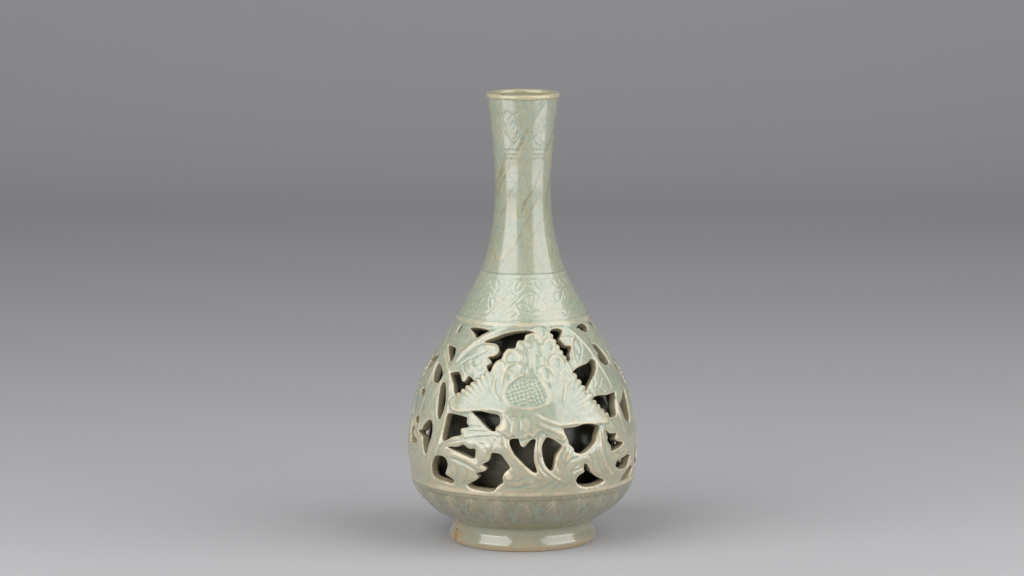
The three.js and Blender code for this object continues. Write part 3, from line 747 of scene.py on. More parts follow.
def add_pod(depth, bearing):
    """The seed pod: a raised rim, open at the top, around a hollow with slanted rows of seeds.

    The seeds are the mean of two crossed cosines. Their rows waver and fade out at the top."""
    rim = on_map(smooth_path(turned_by(POD_RIM, bearing)))
    window, distance, _, _ = near(rim, 3)
    depth[window] -= POD_RIM_HEIGHT * section(distance, POD_RIM_WIDTH)
    window, distance, _, inside = near(rim, 3, closed=True)
    offset = bearing_grid[window] - math.radians(bearing)
    across = from_nearest(offset, 2 * math.pi) * radius_grid[window]
    up = z_grid[window] - OPENWORK_BOTTOM
    row = across + 0.45 * up + 0.3 * np.sin(0.9 * up)
    step = up - 0.3 * across + 0.3 * np.sin(1.3 * across)
    seeds = (np.cos(2 * math.pi * row / SEED_PITCH[0]) + np.cos(2 * math.pi * step / SEED_PITCH[1])) / 2
    bed = smooth_step(distance, 0.5, 1.7) * np.where(inside, 1 - smooth_step(up, *SEEDS_FADE), 0)
    depth[window] += bed * (SEED_BED - SEED_HEIGHT * seeds)
    depth[window] += POD_GROOVE * section(distance - 1.4, 0.7) * inside


def blossom_step(bearing):
    """How far each point belongs to the blossom (0 to 1), and the narrow groove around it."""
    share, groove = np.zeros((ROWS, COLUMNS)), np.zeros((ROWS, COLUMNS))
    outline = on_map(smooth_path(turned_by(BLOSSOM_OUTLINE, bearing), closed=True))
    window, distance, _, inside = near(outline, 3, closed=True)
    signed = np.where(inside, -distance, distance)
    share[window] = 1 - smooth_step(signed, *BLOSSOM_EDGE)
    groove[window] = BLOSSOM_GROOVE * section(signed - 0.7, 0.6)
    return share, groove


def seam_groove(z):
    """Depth of the incised lines over the seats of the sections: one section at each seat."""
    seats = np.array([OPENWORK_BOTTOM, SHOULDER_BOTTOM, NECK_BOTTOM])
    nearest = np.abs(np.asarray(z)[..., None] - seats).min(axis=-1)
    return SEAM_GROOVE * section(nearest, SEAM_GROOVE_WIDTH)


def carving_depth():
    """Depth under the turned face for every grid point of the wall.

    Under SOFT_FLOOR it is SOFT_FLOOR * exp(depth / SOFT_FLOOR - 1), which stays above zero."""
    up = (z_grid - OPENWORK_BOTTOM) / OPENWORK_HEIGHT * 100
    carved_zone = smooth_step(up, *LOW_RIM_FADE) * smooth_step(100 - up, *HIGH_RIM_FADE)
    depth = RIM_LEVEL + (LEAF_LEVEL - RIM_LEVEL) * carved_zone
    for bearing in BLOSSOM_BEARINGS:
        share, groove = blossom_step(bearing)
        depth = depth * (1 - share) + BLOSSOM_LEVEL * share + groove * carved_zone
    relief = np.zeros_like(depth)
    for bearing in BLOSSOM_BEARINGS:
        add_strokes(relief, BLOSSOM_STROKES + LEAF_STROKES, bearing)
        add_hollows(relief, BLOSSOM_HOLLOWS + LEAF_HOLLOWS, bearing)
        add_pod(relief, bearing)
    depth += relief * carved_zone
    depth += EDGE_SINK * np.exp(-np.maximum(edge_distance, 0) / EDGE_SINK_REACH)
    depth += seam_groove(z_grid)
    soft = SOFT_FLOOR * np.exp(np.minimum(depth / SOFT_FLOOR - 1, 0))
    return np.where(depth > SOFT_FLOOR, depth, soft)


carved = carving_depth()
print("carving between", carved.min().round(2), "and", carved.max().round(2), "mm deep")

# %% [markdown]
# ## The pierced wall as one closed skin
#
# The outer sheet keeps the grid cells that are clear of the openings. Grid points next to a
# cut are first slid onto it, so the edge is a smooth curve instead of stairs. Solidify could
# give the sheet its thickness, but with square edges. So from each edge point a chain of
# points rolls over the rounded lip, runs down the cut wall along the normal and rolls onto
# the inner sheet.

# %% Slide the grid to the cuts
LIP_ROUNDING = 0.80
SLIDE_SHARE = 0.55
FLATTEST = 1e-9
cut_margin = edge_distance - LIP_ROUNDING

across = (np.roll(cut_margin, -1, axis=1) - np.roll(cut_margin, 1, axis=1)) / 2
along = np.gradient(cut_margin, axis=0)
steepness = np.maximum(np.hypot(across, along), FLATTEST)
toward_cut = np.stack([-across / steepness, -along / steepness], axis=-1)
slides = np.abs(cut_margin) <= SLIDE_SHARE * radius_grid * BEARING_STEP
slides[[0, -1]] = False
slide = np.where(slides, cut_margin / radius_grid, 0)
bearing_at = bearing_grid + slide * toward_cut[..., 0]
climb_at = climb_grid + slide * toward_cut[..., 1]
kept = (cut_margin > 0) | slides
print("points slid onto the cuts:", int(slides.sum()))


def kept_cells():
    """Quads whose four corners are kept and triangles where three are, with their columns."""
    quads = grid_quads(ROWS, COLUMNS)
    column = np.tile(np.arange(COLUMNS), ROWS - 1)
    here = kept.ravel()[quads]
    whole, three = here.sum(axis=1) == 4, here.sum(axis=1) == 3
    missing = np.argmin(here[three], axis=1)
    turns = (missing[:, None] + np.array([1, 2, 3])) % 4
    return quads[whole], column[whole], np.take_along_axis(quads[three], turns, axis=1), column[three]


def open_edges(quads, triangles):
    """Directed edges that belong to one face only, as start and end points."""
    starts = np.concatenate([quads.ravel(), triangles.ravel()])
    ends = np.concatenate([np.roll(quads, -1, axis=1).ravel(), np.roll(triangles, -1, axis=1).ravel()])
    size = int(starts.max()) + 1
    alone = ~np.isin(starts * size + ends, ends * size + starts)
    return starts[alone], ends[alone]


sheet_quads, quad_column, sheet_triangles, triangle_column = kept_cells()
edge_start, edge_end = open_edges(sheet_quads, sheet_triangles)
print("outer sheet:", len(sheet_quads), "quads,", len(edge_start), "edge points, points with two edges:",
      int((np.bincount(edge_start) > 1).sum()))

# %% [markdown]
# The chains are made for all edge points at once: two arrays say how far each link lies
# sideways and how deep. At the flat seats a chain has only one link, the inner corner.

# %% Chains over the cut walls
LIP_TURNS = np.radians([22.5, 45, 67.5, 90])
INNER_TURNS = np.radians([90, 45])
WALL_SHARES = np.array([0.4, 0.7])
SIDEWAYS = LIP_ROUNDING * np.concatenate([np.sin(LIP_TURNS), np.ones(2), np.sin(INNER_TURNS)])
SHEET_POINTS = ROWS * COLUMNS

edge_points = np.unique(edge_start)
on_seat = (edge_points < COLUMNS) | (edge_points >= SHEET_POINTS - COLUMNS)
cut_points, seat_points = edge_points[~on_seat], edge_points[on_seat]


def cut_links():
    """Points of the chains at the cuts: a quarter circle, the wall, a quarter circle."""
    start = carved.ravel()[cut_points][:, None]
    lip = start + LIP_ROUNDING * (1 - np.cos(LIP_TURNS))
    wall = start + LIP_ROUNDING + (SHELL_WALL - 2 * LIP_ROUNDING - start) * WALL_SHARES
    inner = SHELL_WALL - LIP_ROUNDING * (1 - np.cos(INNER_TURNS)) + 0 * start
    lead = toward_cut.reshape(-1, 2)[cut_points] / radius_grid.ravel()[cut_points][:, None]
    bearing = bearing_at.ravel()[cut_points][:, None] + SIDEWAYS * lead[:, :1]
    climb = climb_at.ravel()[cut_points][:, None] + SIDEWAYS * lead[:, 1:]
    return under_shell(bearing, height_of(climb), np.concatenate([lip, wall, inner], axis=1))


def seat_links():
    """Inner corners of the flat seats, straight across from the outer ones."""
    z = z_grid.ravel()[seat_points]
    return at_radius(bearing_grid.ravel()[seat_points], inset_radius(z, SHELL_WALL), z)


outer_sheet = under_shell(bearing_at, height_of(climb_at), carved).reshape(-1, 3)
outer_sheet[:COLUMNS, 2], outer_sheet[-COLUMNS:, 2] = OPENWORK_BOTTOM, SHOULDER_BOTTOM
inner_sheet = under_shell(bearing_at, height_of(climb_at), SHELL_WALL + 0 * carved).reshape(-1, 3)
links, corners = cut_links(), seat_links()
wall_points = np.concatenate([outer_sheet, inner_sheet, links.reshape(-1, 3), corners])

link_count = len(SIDEWAYS)
link_ids = 2 * SHEET_POINTS + np.arange(links.shape[0] * link_count).reshape(-1, link_count)
cut_chains = np.column_stack([cut_points, link_ids, cut_points + SHEET_POINTS])
corner_ids = 2 * SHEET_POINTS + link_ids.size + np.arange(len(corners))
seat_chains = np.column_stack([seat_points, corner_ids, seat_points + SHEET_POINTS])
print(len(cut_chains), "chains over cuts,", len(seat_chains), "at seats")


def strips(starts, ends):
    """Quads between the chains of the two ends of each edge."""
    made = []
    for chains in (cut_chains, seat_chains):
        mine = np.isin(starts, chains[:, 0])
        first = chains[np.searchsorted(chains[:, 0], starts[mine])]
        second = chains[np.searchsorted(chains[:, 0], ends[mine])]
        quads = np.stack([second[:, :-1], first[:, :-1], first[:, 1:], second[:, 1:]], axis=-1)
        made.append(quads.reshape(-1, 4))
    return np.concatenate(made)


def seam_fans(points, backwards):
    """Triangles that close the skin over the chains where a seam between panels ends."""
    made = []
    for chains in (cut_chains, seat_chains):
        mine = chains[np.isin(chains[:, 0], points)]
        mine = mine[:, ::-1] if backwards else mine
        hub = np.repeat(mine[:, :1], mine.shape[1] - 2, axis=1)
        made.append(np.stack([hub, mine[:, 1:-1], mine[:, 2:]], axis=-1).reshape(-1, 3))
    return np.concatenate(made)


# %% [markdown]
# ## What the glaze reads from the carving
#
# Celadon glaze is clear and coloured by iron: it is blue-green where it pools in hollows and
# pale cream where it runs thin on edges. A point that lies deeper than its surroundings is a
# hollow, so the difference between the depth and its blurred copy says where glaze pools.
# The inside map is painted shade: it darkens the cut walls inwards and the whole inner sheet.

# %% Glaze maps of the wall
# how much the difference to a blurred copy counts, and how many times that copy is blurred
POOL_SCALES = ((0.8, 14), (0.28, 160))
EDGE_REACH = 0.8
LINK_EDGE = [1, 1, 0.9, 0.7, 0.3, 0.2, 0.2, 0.2]
# painted shade along each chain, from the face down the cut wall to the inner sheet
LINK_INSIDE = [0, 0.04, 0.12, 0.2, 0.4, 0.5, 0.7, 0.9]


def blurred(values, times):
    """Each value becomes the mean of itself and its four neighbours, several times over."""
    for _ in range(times):
        padded = np.vstack([values[:1], values, values[-1:]])
        values = (values + np.roll(values, 1, axis=1) + np.roll(values, -1, axis=1)
                  + padded[:-2] + padded[2:]) / 5
    return values


def wall_maps():
    """pool, edge and inside of every point of the skin.

    pool compares a point with its surroundings at two scales, so that both a fine groove and
    the middle of a hollow count. edge is 1 at a cut and fades away from it. inside is the share
    of painted shade: 0 on the outer sheet, it grows along each chain and is 1 on the inner sheet."""
    pool = sum(share * (carved - blurred(carved, times)) for share, times in POOL_SCALES).ravel()
    edge = np.exp(-np.maximum(edge_distance - 0.5 * LIP_ROUNDING, 0) / EDGE_REACH).ravel()
    none = np.zeros(SHEET_POINTS)
    link_edge, link_inside = np.tile(LINK_EDGE, len(cut_points)), np.tile(LINK_INSIDE, len(cut_points))
    corner_zero = np.zeros(len(corners))
    return {"pool": np.concatenate([pool, none, 0 * link_edge, corner_zero]),
            "edge": np.concatenate([edge, none, link_edge, corner_zero]),
            "inside": np.concatenate([none, none + 1, link_inside, corner_zero + 1])}


skin_maps = wall_maps()
whole_quads = np.concatenate([sheet_quads, sheet_quads[:, ::-1] + SHEET_POINTS,
                              strips(edge_start, edge_end)])
whole_triangles = np.concatenate([sheet_triangles, sheet_triangles[:, ::-1] + SHEET_POINTS])
wall_normals = point_normals(wall_points, whole_quads, whole_triangles)
last_row = SHEET_POINTS - COLUMNS
wall_normals[:COLUMNS] = wall_normals[COLUMNS:2 * COLUMNS]
wall_normals[last_row:SHEET_POINTS] = wall_normals[last_row - COLUMNS:last_row]
print("wall skin:", 2 * len(whole_quads) + len(whole_triangles), "triangles in all")

# %% [markdown]
# ## Panels
#
# The whole skin has more triangles than one mesh should hold, so it is made as five panels.
# Each panel is closed by a hidden face along its seams: between the sheets where there is
# clay, and over the chains where a seam runs into an opening.

# %% Panels of the pierced wall
PANEL_NAMES = ("back_left", "left", "front", "right", "back_right")
edge_code = edge_start * SHEET_POINTS + edge_end


def panel(name, first_column, last_column):
    """The part of the skin between two columns, as a closed mesh."""
    quads = sheet_quads[(quad_column >= first_column) & (quad_column < last_column)]
    triangles = sheet_triangles[(triangle_column >= first_column) & (triangle_column < last_column)]
    starts, ends = open_edges(quads, triangles)
    cut = np.isin(starts * SHEET_POINTS + ends, edge_code)
    seam_start, seam_end = starts[~cut], ends[~cut]
    caps = np.stack([seam_end, seam_start, seam_start + SHEET_POINTS, seam_end + SHEET_POINTS], axis=1)
    quads = np.concatenate([quads, quads[:, ::-1] + SHEET_POINTS, strips(starts[cut], ends[cut]), caps])
    triangles = np.concatenate([
        triangles, triangles[:, ::-1] + SHEET_POINTS,
        seam_fans(np.setdiff1d(seam_start, seam_end), False),
        seam_fans(np.setdiff1d(seam_end, seam_start), True)])
    print(name, "open edges:", len(open_edges(quads, triangles)[0]))
    used, places = np.unique(np.concatenate([quads.ravel(), triangles.ravel()]), return_inverse=True)
    return mesh_object(
        name, wall_points[used], places[:quads.size].reshape(-1, 4), places[quads.size:].reshape(-1, 3),
        {key: values[used] for key, values in skin_maps.items()}, wall_normals[used])


seam_columns = np.linspace(0, COLUMNS, len(PANEL_NAMES) + 1).astype(int)
panels = [panel("openwork_" + name, first, last)
          for name, first, last in zip(PANEL_NAMES, seam_columns[:-1], seam_columns[1:])]

# %% [markdown]
# ## Sections that are not pierced
#
# The shoulder, neck, bowl, foot, lip and inner vessel are rows of points around the axis.
# A row lies at each step up the outer face and back down the inner one. A ring closes on its
# first row. A vessel with a floor closes on the axis instead, with one point at each end.
# Spin makes such shapes too, but only plain ones: here each row may carry its own relief.

# %% Turned section helper
EDGE_SUPPORT = 0.06
# MOUTH_LIGHT: how far below the lip (mm) the painted shade on inner faces fades in
MOUTH_LIGHT = 25.0
NOWHERE_NEAR = 99.0
FACE_BLUR = 10
ROW_SHARE = 0.6


def around(columns):
    """Bearings of a row, from the back round by the front."""
    return np.arange(columns) * 2 * math.pi / columns - math.pi


def face_levels(low, high, step):
    """Heights up a face, with an extra row close to each end to keep its edges crisp."""
    count = max(2, int(round((high - low) / step)) + 1)
    return np.concatenate([[low], np.linspace(low + EDGE_SUPPORT, high - EDGE_SUPPORT, count), [high]])


def turned_section(name, face, back, maps=None, poles=None):
    """Closed surface from the rows of its outer face, upwards, and its inner face, downwards.

    maps are rows of values on the face, and a section that has them gets painted shade on its
    inner face, which fades in over MOUTH_LIGHT below the lip.
    poles are the heights of the two points on the axis that close a vessel with a floor."""
    rows = np.concatenate([face, back])
    count, columns = rows.shape[:2]
    quads = grid_quads(count, columns, wrap_rows=poles is None)
    points, triangles, values = rows.reshape(-1, 3), np.zeros((0, 3), int), {}
    if maps:
        blank = np.zeros(back.shape[:2])
        values = {key: np.concatenate([map_rows, blank]).ravel() for key, map_rows in maps.items()}
        # painted shade on the inner face, full from MOUTH_LIGHT below the lip downwards
        shade = smooth_step(LIP_BOTTOM - back[..., 2], 0, MOUTH_LIGHT)
        values["inside"] = np.concatenate([np.zeros(face.shape[:2]), shade]).ravel()
    if poles:
        points = np.concatenate([points, [[0, 0, z] for z in poles]])
        this = np.arange(columns)
        beside = (this + 1) % columns
        last = (count - 1) * columns
        outer_pole, inner_pole = 0 * this + count * columns, 0 * this + count * columns + 1
        triangles = np.concatenate([np.stack([beside, this, outer_pole], axis=1),
                                    np.stack([last + this, last + beside, inner_pole], axis=1)])
        values = {key: np.concatenate([each, each[[0, -1]]]) for key, each in values.items()}
    return mesh_object(name, points, quads, triangles, values)


def incised(x, y, strokes, depth, width, closed=False):
    """Depth of fine incised lines: the nearest line counts, with a rounded section."""
    nearest = np.full(x.shape, NOWHERE_NEAR)
    for points in strokes:
        distance, _, _ = distance_to(smooth_path(points, closed), x, y, closed)
        nearest = np.minimum(nearest, distance)
    return depth * section(nearest, width)


def back_rings(node):
    """Radius and height of the rings of a section's inner face, from the top down."""
    levels, radii = turned_rings(node, np.min)
    return [(radius, z) for z, radius in zip(levels[::-1], radii[::-1])
            if radius < shell_radius(z) - 2]


def shell_section(name, low, high, step, columns, depth_of, back_rows, poles=None):
    """A section of the shell with its relief, closed by its seats and its inner face.

    pool is how much deeper a point lies than its blurred surroundings, and than its own row."""
    levels = face_levels(low, high, step)
    bearing, z = np.meshgrid(around(columns), levels)
    depth = depth_of(bearing, z)
    face = under_shell(bearing, z, depth)
    face[0, :, 2], face[-1, :, 2] = low, high
    beside = depth.mean(axis=1, keepdims=True)
    pool = depth - blurred(depth, FACE_BLUR) + ROW_SHARE * (depth - beside)
    return turned_section(name, face, rows_around(around(columns), back_rows), {"pool": pool}, poles)


# %% [markdown]
# ## Shoulder
#
# A leaf scroll is incised between two lines: one vine that waves around the shoulder, with
# leaves of many sizes set thickly along it. It is drawn in millimetres for one third of the
# turn and repeated. A bump texture would be lighter to make, but such shallow lines show
# because glaze pools in them and because every leaf swells a little, and both need real
# depth.

# %% Shoulder
SHOULDER_COLUMNS = 520
SHOULDER_REPEATS = 3
SHOULDER_MIDDLE_RADIUS = 32.0
SHOULDER_STRETCH = 0.9
LINE_UNDER_NECK = 3.0
VINE_DEPTH = 0.20
SCROLL_DEPTH = 0.19
SCROLL_LINE_WIDTH = 0.44
LEAF_SWELL = 0.10
SHOULDER_LINE_DEPTH = 0.26
SHOULDER_SKIN = 0.08
SCROLL_VINE = [
    (-33.6, 8), (-29, 13), (-23.5, 15.2), (-18, 10.5), (-13, 6), (-7.5, 6.8), (-2.5, 11.4), (3, 15),
    (8.5, 13), (13, 8.4), (18, 5), (23.5, 5.4), (28.5, 7.2), (33.6, 8)]

# middle (mm), direction (degrees), length and width (mm)
SCROLL_LEAVES = [
    (-30.5, 6.4, -38, 7.6, 3.6), (-27, 17.6, 18, 8.0, 3.8), (-26.2, 8.6, 62, 7.4, 3.6),
    (-22, 3.4, 12, 7.8, 3.2), (-20.4, 17.4, -28, 8.4, 4.0), (-19.2, 8.2, -62, 7.2, 3.4),
    (-14.6, 13.6, 24, 8.2, 4.2), (-13.4, 2.4, -14, 7.4, 3.0), (-10.2, 18.4, 6, 7.8, 3.4),
    (-7.6, 11.6, 12, 8.6, 4.0), (-6.2, 2.8, 22, 7.2, 3.2), (-1.6, 17.2, 38, 7.4, 3.6),
    (0.4, 6.6, -24, 8.4, 3.8), (4.4, 10.4, 58, 7.0, 3.4), (4.8, 19, -8, 7.8, 3.2),
    (6.4, 3, 6, 8.0, 3.2), (10.4, 17.2, -36, 7.8, 3.8), (11.8, 11.8, 16, 7.2, 3.6),
    (13.6, 3.2, -26, 6.8, 3.0), (17.2, 10.8, -48, 8.0, 4.0), (18.4, 17.4, 14, 8.6, 4.0),
    (20.6, 2, 4, 7.0, 2.6), (23.4, 11.2, 34, 8.2, 4.0), (25.8, 17.6, -22, 7.6, 3.6),
    (29.4, 12.2, 66, 7.0, 3.4), (28.2, 2.8, 14, 7.6, 3.0), (33, 16.4, -6, 7.4, 3.6),
    (33.4, 2.6, -16, 6.4, 2.8)]


def leaf_outline(x, y, direction, length, width):
    """A pointed leaf: half its width is width/2 * sin(pi * s)^0.8 at the share s of its length,
    and its middle line bends by a tenth of the length."""
    s = np.linspace(0, 1, 9)
    swell = width / 2 * np.sin(math.pi * s) ** 0.8
    bend = 0.4 * length * (s - s * s)
    along = np.concatenate([s, s[-2:0:-1]]) * length - length / 2
    aside = np.concatenate([bend + swell, (bend - swell)[-2:0:-1]])
    turn = math.radians(direction)
    return np.stack([x + along * math.cos(turn) - aside * math.sin(turn),
                     y + along * math.sin(turn) + aside * math.cos(turn)], axis=1)


def shoulder_depth(bearing, z):
    """Depth of the shoulder: its skin and seams, and the deeper of the scroll and its line."""
    turn = 2 * math.pi / SHOULDER_REPEATS
    half = turn * SHOULDER_MIDDLE_RADIUS / 2
    x = from_nearest(bearing, turn) * SHOULDER_MIDDLE_RADIUS
    y = (z - SHOULDER_BOTTOM) * SHOULDER_STRETCH
    depth = incised(x, y, [SCROLL_VINE], VINE_DEPTH, SCROLL_LINE_WIDTH)
    for leaf in SCROLL_LEAVES:
        for shift in (-2 * half, 0, 2 * half):
            if abs(leaf[0] + shift) > half + 5:
                continue
            outline = leaf_outline(*leaf) + (shift, 0)
            near_leaf = np.hypot(x - leaf[0] - shift, y - leaf[1]) < leaf[3] / 2 + 2.5
            distance, _, inside = distance_to(outline, x[near_leaf], y[near_leaf], closed=True)
            cut = SCROLL_DEPTH * section(distance, SCROLL_LINE_WIDTH)
            depth[near_leaf] = np.maximum(depth[near_leaf], cut)
            depth[near_leaf] -= LEAF_SWELL * inside * smooth_step(distance, 0.2, 1.6)
    line = SHOULDER_LINE_DEPTH * section(z - NECK_BOTTOM + LINE_UNDER_NECK, 0.4)
    clear = smooth_step(z, SHOULDER_BOTTOM + 0.8, SHOULDER_BOTTOM + 2.5)
    clear = clear * smooth_step(NECK_BOTTOM - LINE_UNDER_NECK - z, 0.3, 1.5)
    return RIM_LEVEL + SHOULDER_SKIN + np.maximum(depth * clear, line) + seam_groove(z)


def inside_of_shell(high, low, count):
    """Radius and height of rows down the shell's inner face, between two seats."""
    return [(inset_radius(z, SHELL_WALL), z) for z in np.linspace(high, low, count)]


shoulder = shell_section("shoulder_scroll", SHOULDER_BOTTOM, NECK_BOTTOM, 0.42, SHOULDER_COLUMNS,
                         shoulder_depth, inside_of_shell(NECK_BOTTOM, SHOULDER_BOTTOM, 8))

# %% [markdown]
# ## Neck
#
# The neck is plain but for three lines and a band of large triangles under the lip, with a
# leaf and curls in and between them. Long cracks in the glaze have taken up a brown stain;
# they wind round the neck the way it was thrown, so each is a piece of a steep spiral. They
# could be painted on an image. A value stored on each point needs no image and no seam.

# %% Neck
NECK_COLUMNS = 320
NECK_LINES = (LIP_BOTTOM - 30, LIP_BOTTOM - 33, LIP_BOTTOM - 35.5)
BAND_BOTTOM = NECK_LINES[0]
BAND_REPEATS = 3
BAND_MIDDLE_RADIUS = 19.6
BAND_TURN = math.radians(-17)
TRIANGLE_TIP = 3.0
TRIANGLE_HALF_WIDTH = BAND_MIDDLE_RADIUS * math.pi / BAND_REPEATS
INNER_LINE_INSET = (2.4, 3.4)


def both_sides(strokes):
    """The strokes and their mirror images."""
    return strokes + [[(-x, y) for x, y in points] for points in strokes]


LEAF_IN_TRIANGLE = [
    [(0, 9), (-3.4, 13.5), (-2.6, 17.4), (0, 21.4), (2.6, 17.4), (3.4, 13.5)],
    [(0, 11.5), (-1.4, 14), (0, 17.2), (1.4, 14)]]
CURLS_IN_TRIANGLE = both_sides([
    [(-4.6, 13.6), (-6.8, 17), (-6.4, 20.6), (-3.6, 23), (-1.8, 21.6)],
    [(-8.4, 18.6), (-10.4, 21), (-10, 24)]])
LEAF_BETWEEN = [[(0, 2.2), (-3.2, 6), (-2.2, 10.2), (0, 14), (2.2, 10.2), (3.2, 6)]]
CURLS_BETWEEN = both_sides([
    [(-2, 2.2), (-6, 3.6), (-8.4, 6.4), (-6.6, 8.4)], [(-10, 2.2), (-12.6, 3.8), (-11.6, 5.6)]])

# depth and width of each kind of line, in mm
ZIGZAG_LINE = (0.19, 0.45)
LEAF_LINE = (0.14, 0.42)
CURL_LINE = (0.12, 0.40)
NECK_LINE = (0.11, 0.42)
NECK_SKIN = 0.05

# bearing (degrees) and height (mm) where each stained crack starts, its rise, and its strength
CRACK_SLOPE = 0.56
CRACK_WIDTH = 0.70
ACROSS_CRACK = 0.87
CRACKS = [
    (-66, 207, 46, 1.0), (-72, 213, 40, 0.8), (-8, 198, 30, 0.9), (-2, 190, 22, 0.7),
    (12, 182, 16, 0.7), (-52, 196, 26, 0.6), (48, 205, 30, 0.7), (70, 214, 34, 0.6),
    (96, 196, 42, 0.8), (124, 222, 34, 0.7), (150, 188, 40, 0.8), (176, 208, 44, 0.9),
    (-160, 184, 30, 0.6), (-136, 212, 38, 0.8), (-104, 192, 44, 0.9), (30, 226, 26, 0.6),
    (-30, 172, 20, 0.4), (80, 176, 20, 0.5)]


def band_depth(bearing, z):
    """Depth of the band: the deepest of a double zigzag and of the leaves and curls beside it."""
    turn = 2 * math.pi / BAND_REPEATS
    offset = bearing - BAND_TURN
    y = z - BAND_BOTTOM
    x = from_nearest(offset, turn) * BAND_MIDDLE_RADIUS
    beside = from_nearest(offset + turn / 2, turn) * BAND_MIDDLE_RADIUS
    top = LIP_BOTTOM - BAND_BOTTOM
    depth = np.zeros(x.shape)
    for inset, lift in ((0, 0), INNER_LINE_INSET):
        half = TRIANGLE_HALF_WIDTH - inset
        arm = np.array([(-half, top), (0, TRIANGLE_TIP + lift), (half, top)])
        line = ZIGZAG_LINE[0] * section(distance_to(arm, x, y)[0], ZIGZAG_LINE[1])
        depth = np.maximum(depth, line)
    for place, strokes, line, closed in (
            (x, LEAF_IN_TRIANGLE, LEAF_LINE, True), (x, CURLS_IN_TRIANGLE, CURL_LINE, False),
            (beside, LEAF_BETWEEN, LEAF_LINE, True), (beside, CURLS_BETWEEN, CURL_LINE, False)):
        depth = np.maximum(depth, incised(place, y, strokes, *line, closed))
    return depth


def neck_depth(bearing, z):
    """Depth of the neck: the sum of its skin, its three lines, its band and its seam."""
    lines = sum(NECK_LINE[0] * section(z - height, NECK_LINE[1]) for height in NECK_LINES)
    band = band_depth(bearing, z) * smooth_step(z, BAND_BOTTOM + 0.5, BAND_BOTTOM + 1.5)
    return NECK_SKIN + lines + band + seam_groove(z)


def crack_stain(bearing, z):
    """Strength of the brown stain: the strongest of the spiral cracks, which fade at both ends.

    A crack runs at start + (z - height) / CRACK_SLOPE degrees and wavers like two sines."""
    waver = 0.5 * np.sin(z * 0.31 + 3 * bearing) + 0.2 * np.sin(z * 1.13 + 1.3)
    stain = np.zeros_like(z)
    for start, height, rise, strength in CRACKS:
        offset = np.degrees(bearing) - start - (z - height) / CRACK_SLOPE
        offset = (offset + 180) % 360 - 180
        sideways = np.radians(offset) * shell_radius(z) * ACROSS_CRACK + waver
        fade = smooth_step(z, height, height + 4) * smooth_step(height + rise - z, 0, 6)
        stain = np.maximum(stain, strength * fade * section(sideways, CRACK_WIDTH))
    return stain


neck = shell_section("long_neck", NECK_BOTTOM, LIP_BOTTOM, 0.46, NECK_COLUMNS, neck_depth,
                     back_rings("neck"))
neck_x, neck_y, neck_z = points_of(neck.data).T / MM
store(neck.data, "stain", crack_stain(np.arctan2(neck_x, -neck_y), neck_z))
print("stained cracks:", len(CRACKS))

# %% [markdown]
# ## Lip
#
# The mouth is finished with a rolled lip, over which the glaze ran thin and fired cream.
# Its section is a soft round that overhangs the neck a little on the outside. A Bevel on the
# neck's end would be evenly round, so the section is a curve through ten points instead.

# %% Lip
LIP_COLUMNS = 256
lip_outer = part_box("mouth_lip")[1][0] / MM
lip_bore = float(turned_rings("mouth_lip", np.min)[1].min())
lip_seat = float(shell_radius(LIP_BOTTOM))
LIP_SECTION = [
    (lip_seat - 0.25, LIP_BOTTOM), (lip_outer - 0.45, LIP_BOTTOM + 0.35),
    (lip_outer - 0.03, LIP_BOTTOM + 1.2), (lip_outer - 0.15, LIP_BOTTOM + 2.1),
    (lip_outer - 0.8, LIP_TOP - 0.22), (lip_outer - 1.8, LIP_TOP - 0.02),
    (lip_bore + 0.85, LIP_TOP - 0.25), (lip_bore + 0.2, LIP_TOP - 1.0),
    (lip_bore, LIP_BOTTOM + 0.9), (lip_bore, LIP_BOTTOM)]
LIP_INSET = 0.1


def lip_rows():
    """Rows of the rolled lip: the section turned, with a slight hand-made wave."""
    bearing = around(LIP_COLUMNS)
    wave = 0.06 * np.sin(3 * bearing + 0.7) + 0.04 * np.sin(7 * bearing)
    rows = smooth_path(LIP_SECTION, pieces=4)
    shares = np.clip(rows[:, 1] - LIP_BOTTOM, 0, 1)
    return rows_around(bearing, [(radius - (LIP_INSET + wave) * share, z)
                                 for (radius, z), share in zip(rows, shares)])


lip_surface = lip_rows()
lip = turned_section("rolled_lip", lip_surface[:-1], lip_surface[-1:])

# %% [markdown]
# ## Lower bowl
#
# Upright lotus petals stand around the bowl. One petal could be modelled and arrayed round
# the axis, but its edges would have to be joined to the next. In the turn of one petal, its
# half width is a function of height that ends in a point, and how far a point lies beyond
# that curve gives the incised outline, a second line inside it and the sunk ground between
# the tips.

# %% Lower bowl
BOWL_COLUMNS = 700
PETALS = 25
PETAL_TURN = math.radians(1.3)
PETAL_BOTTOM = BOWL_BOTTOM + 5.0
PETAL_TOP = BOWL_BOTTOM + 21.4
BOWL_LINE = PETAL_BOTTOM - 0.6
BOWL_LINE_DEPTH = 0.28
PETAL_LINE = (0.30, 0.45)
PETAL_INNER_LINE = (0.14, 0.40)
PETAL_LINE_GAP = 1.7
PETAL_GROUND = 0.24
PETAL_CROWN = 0.12


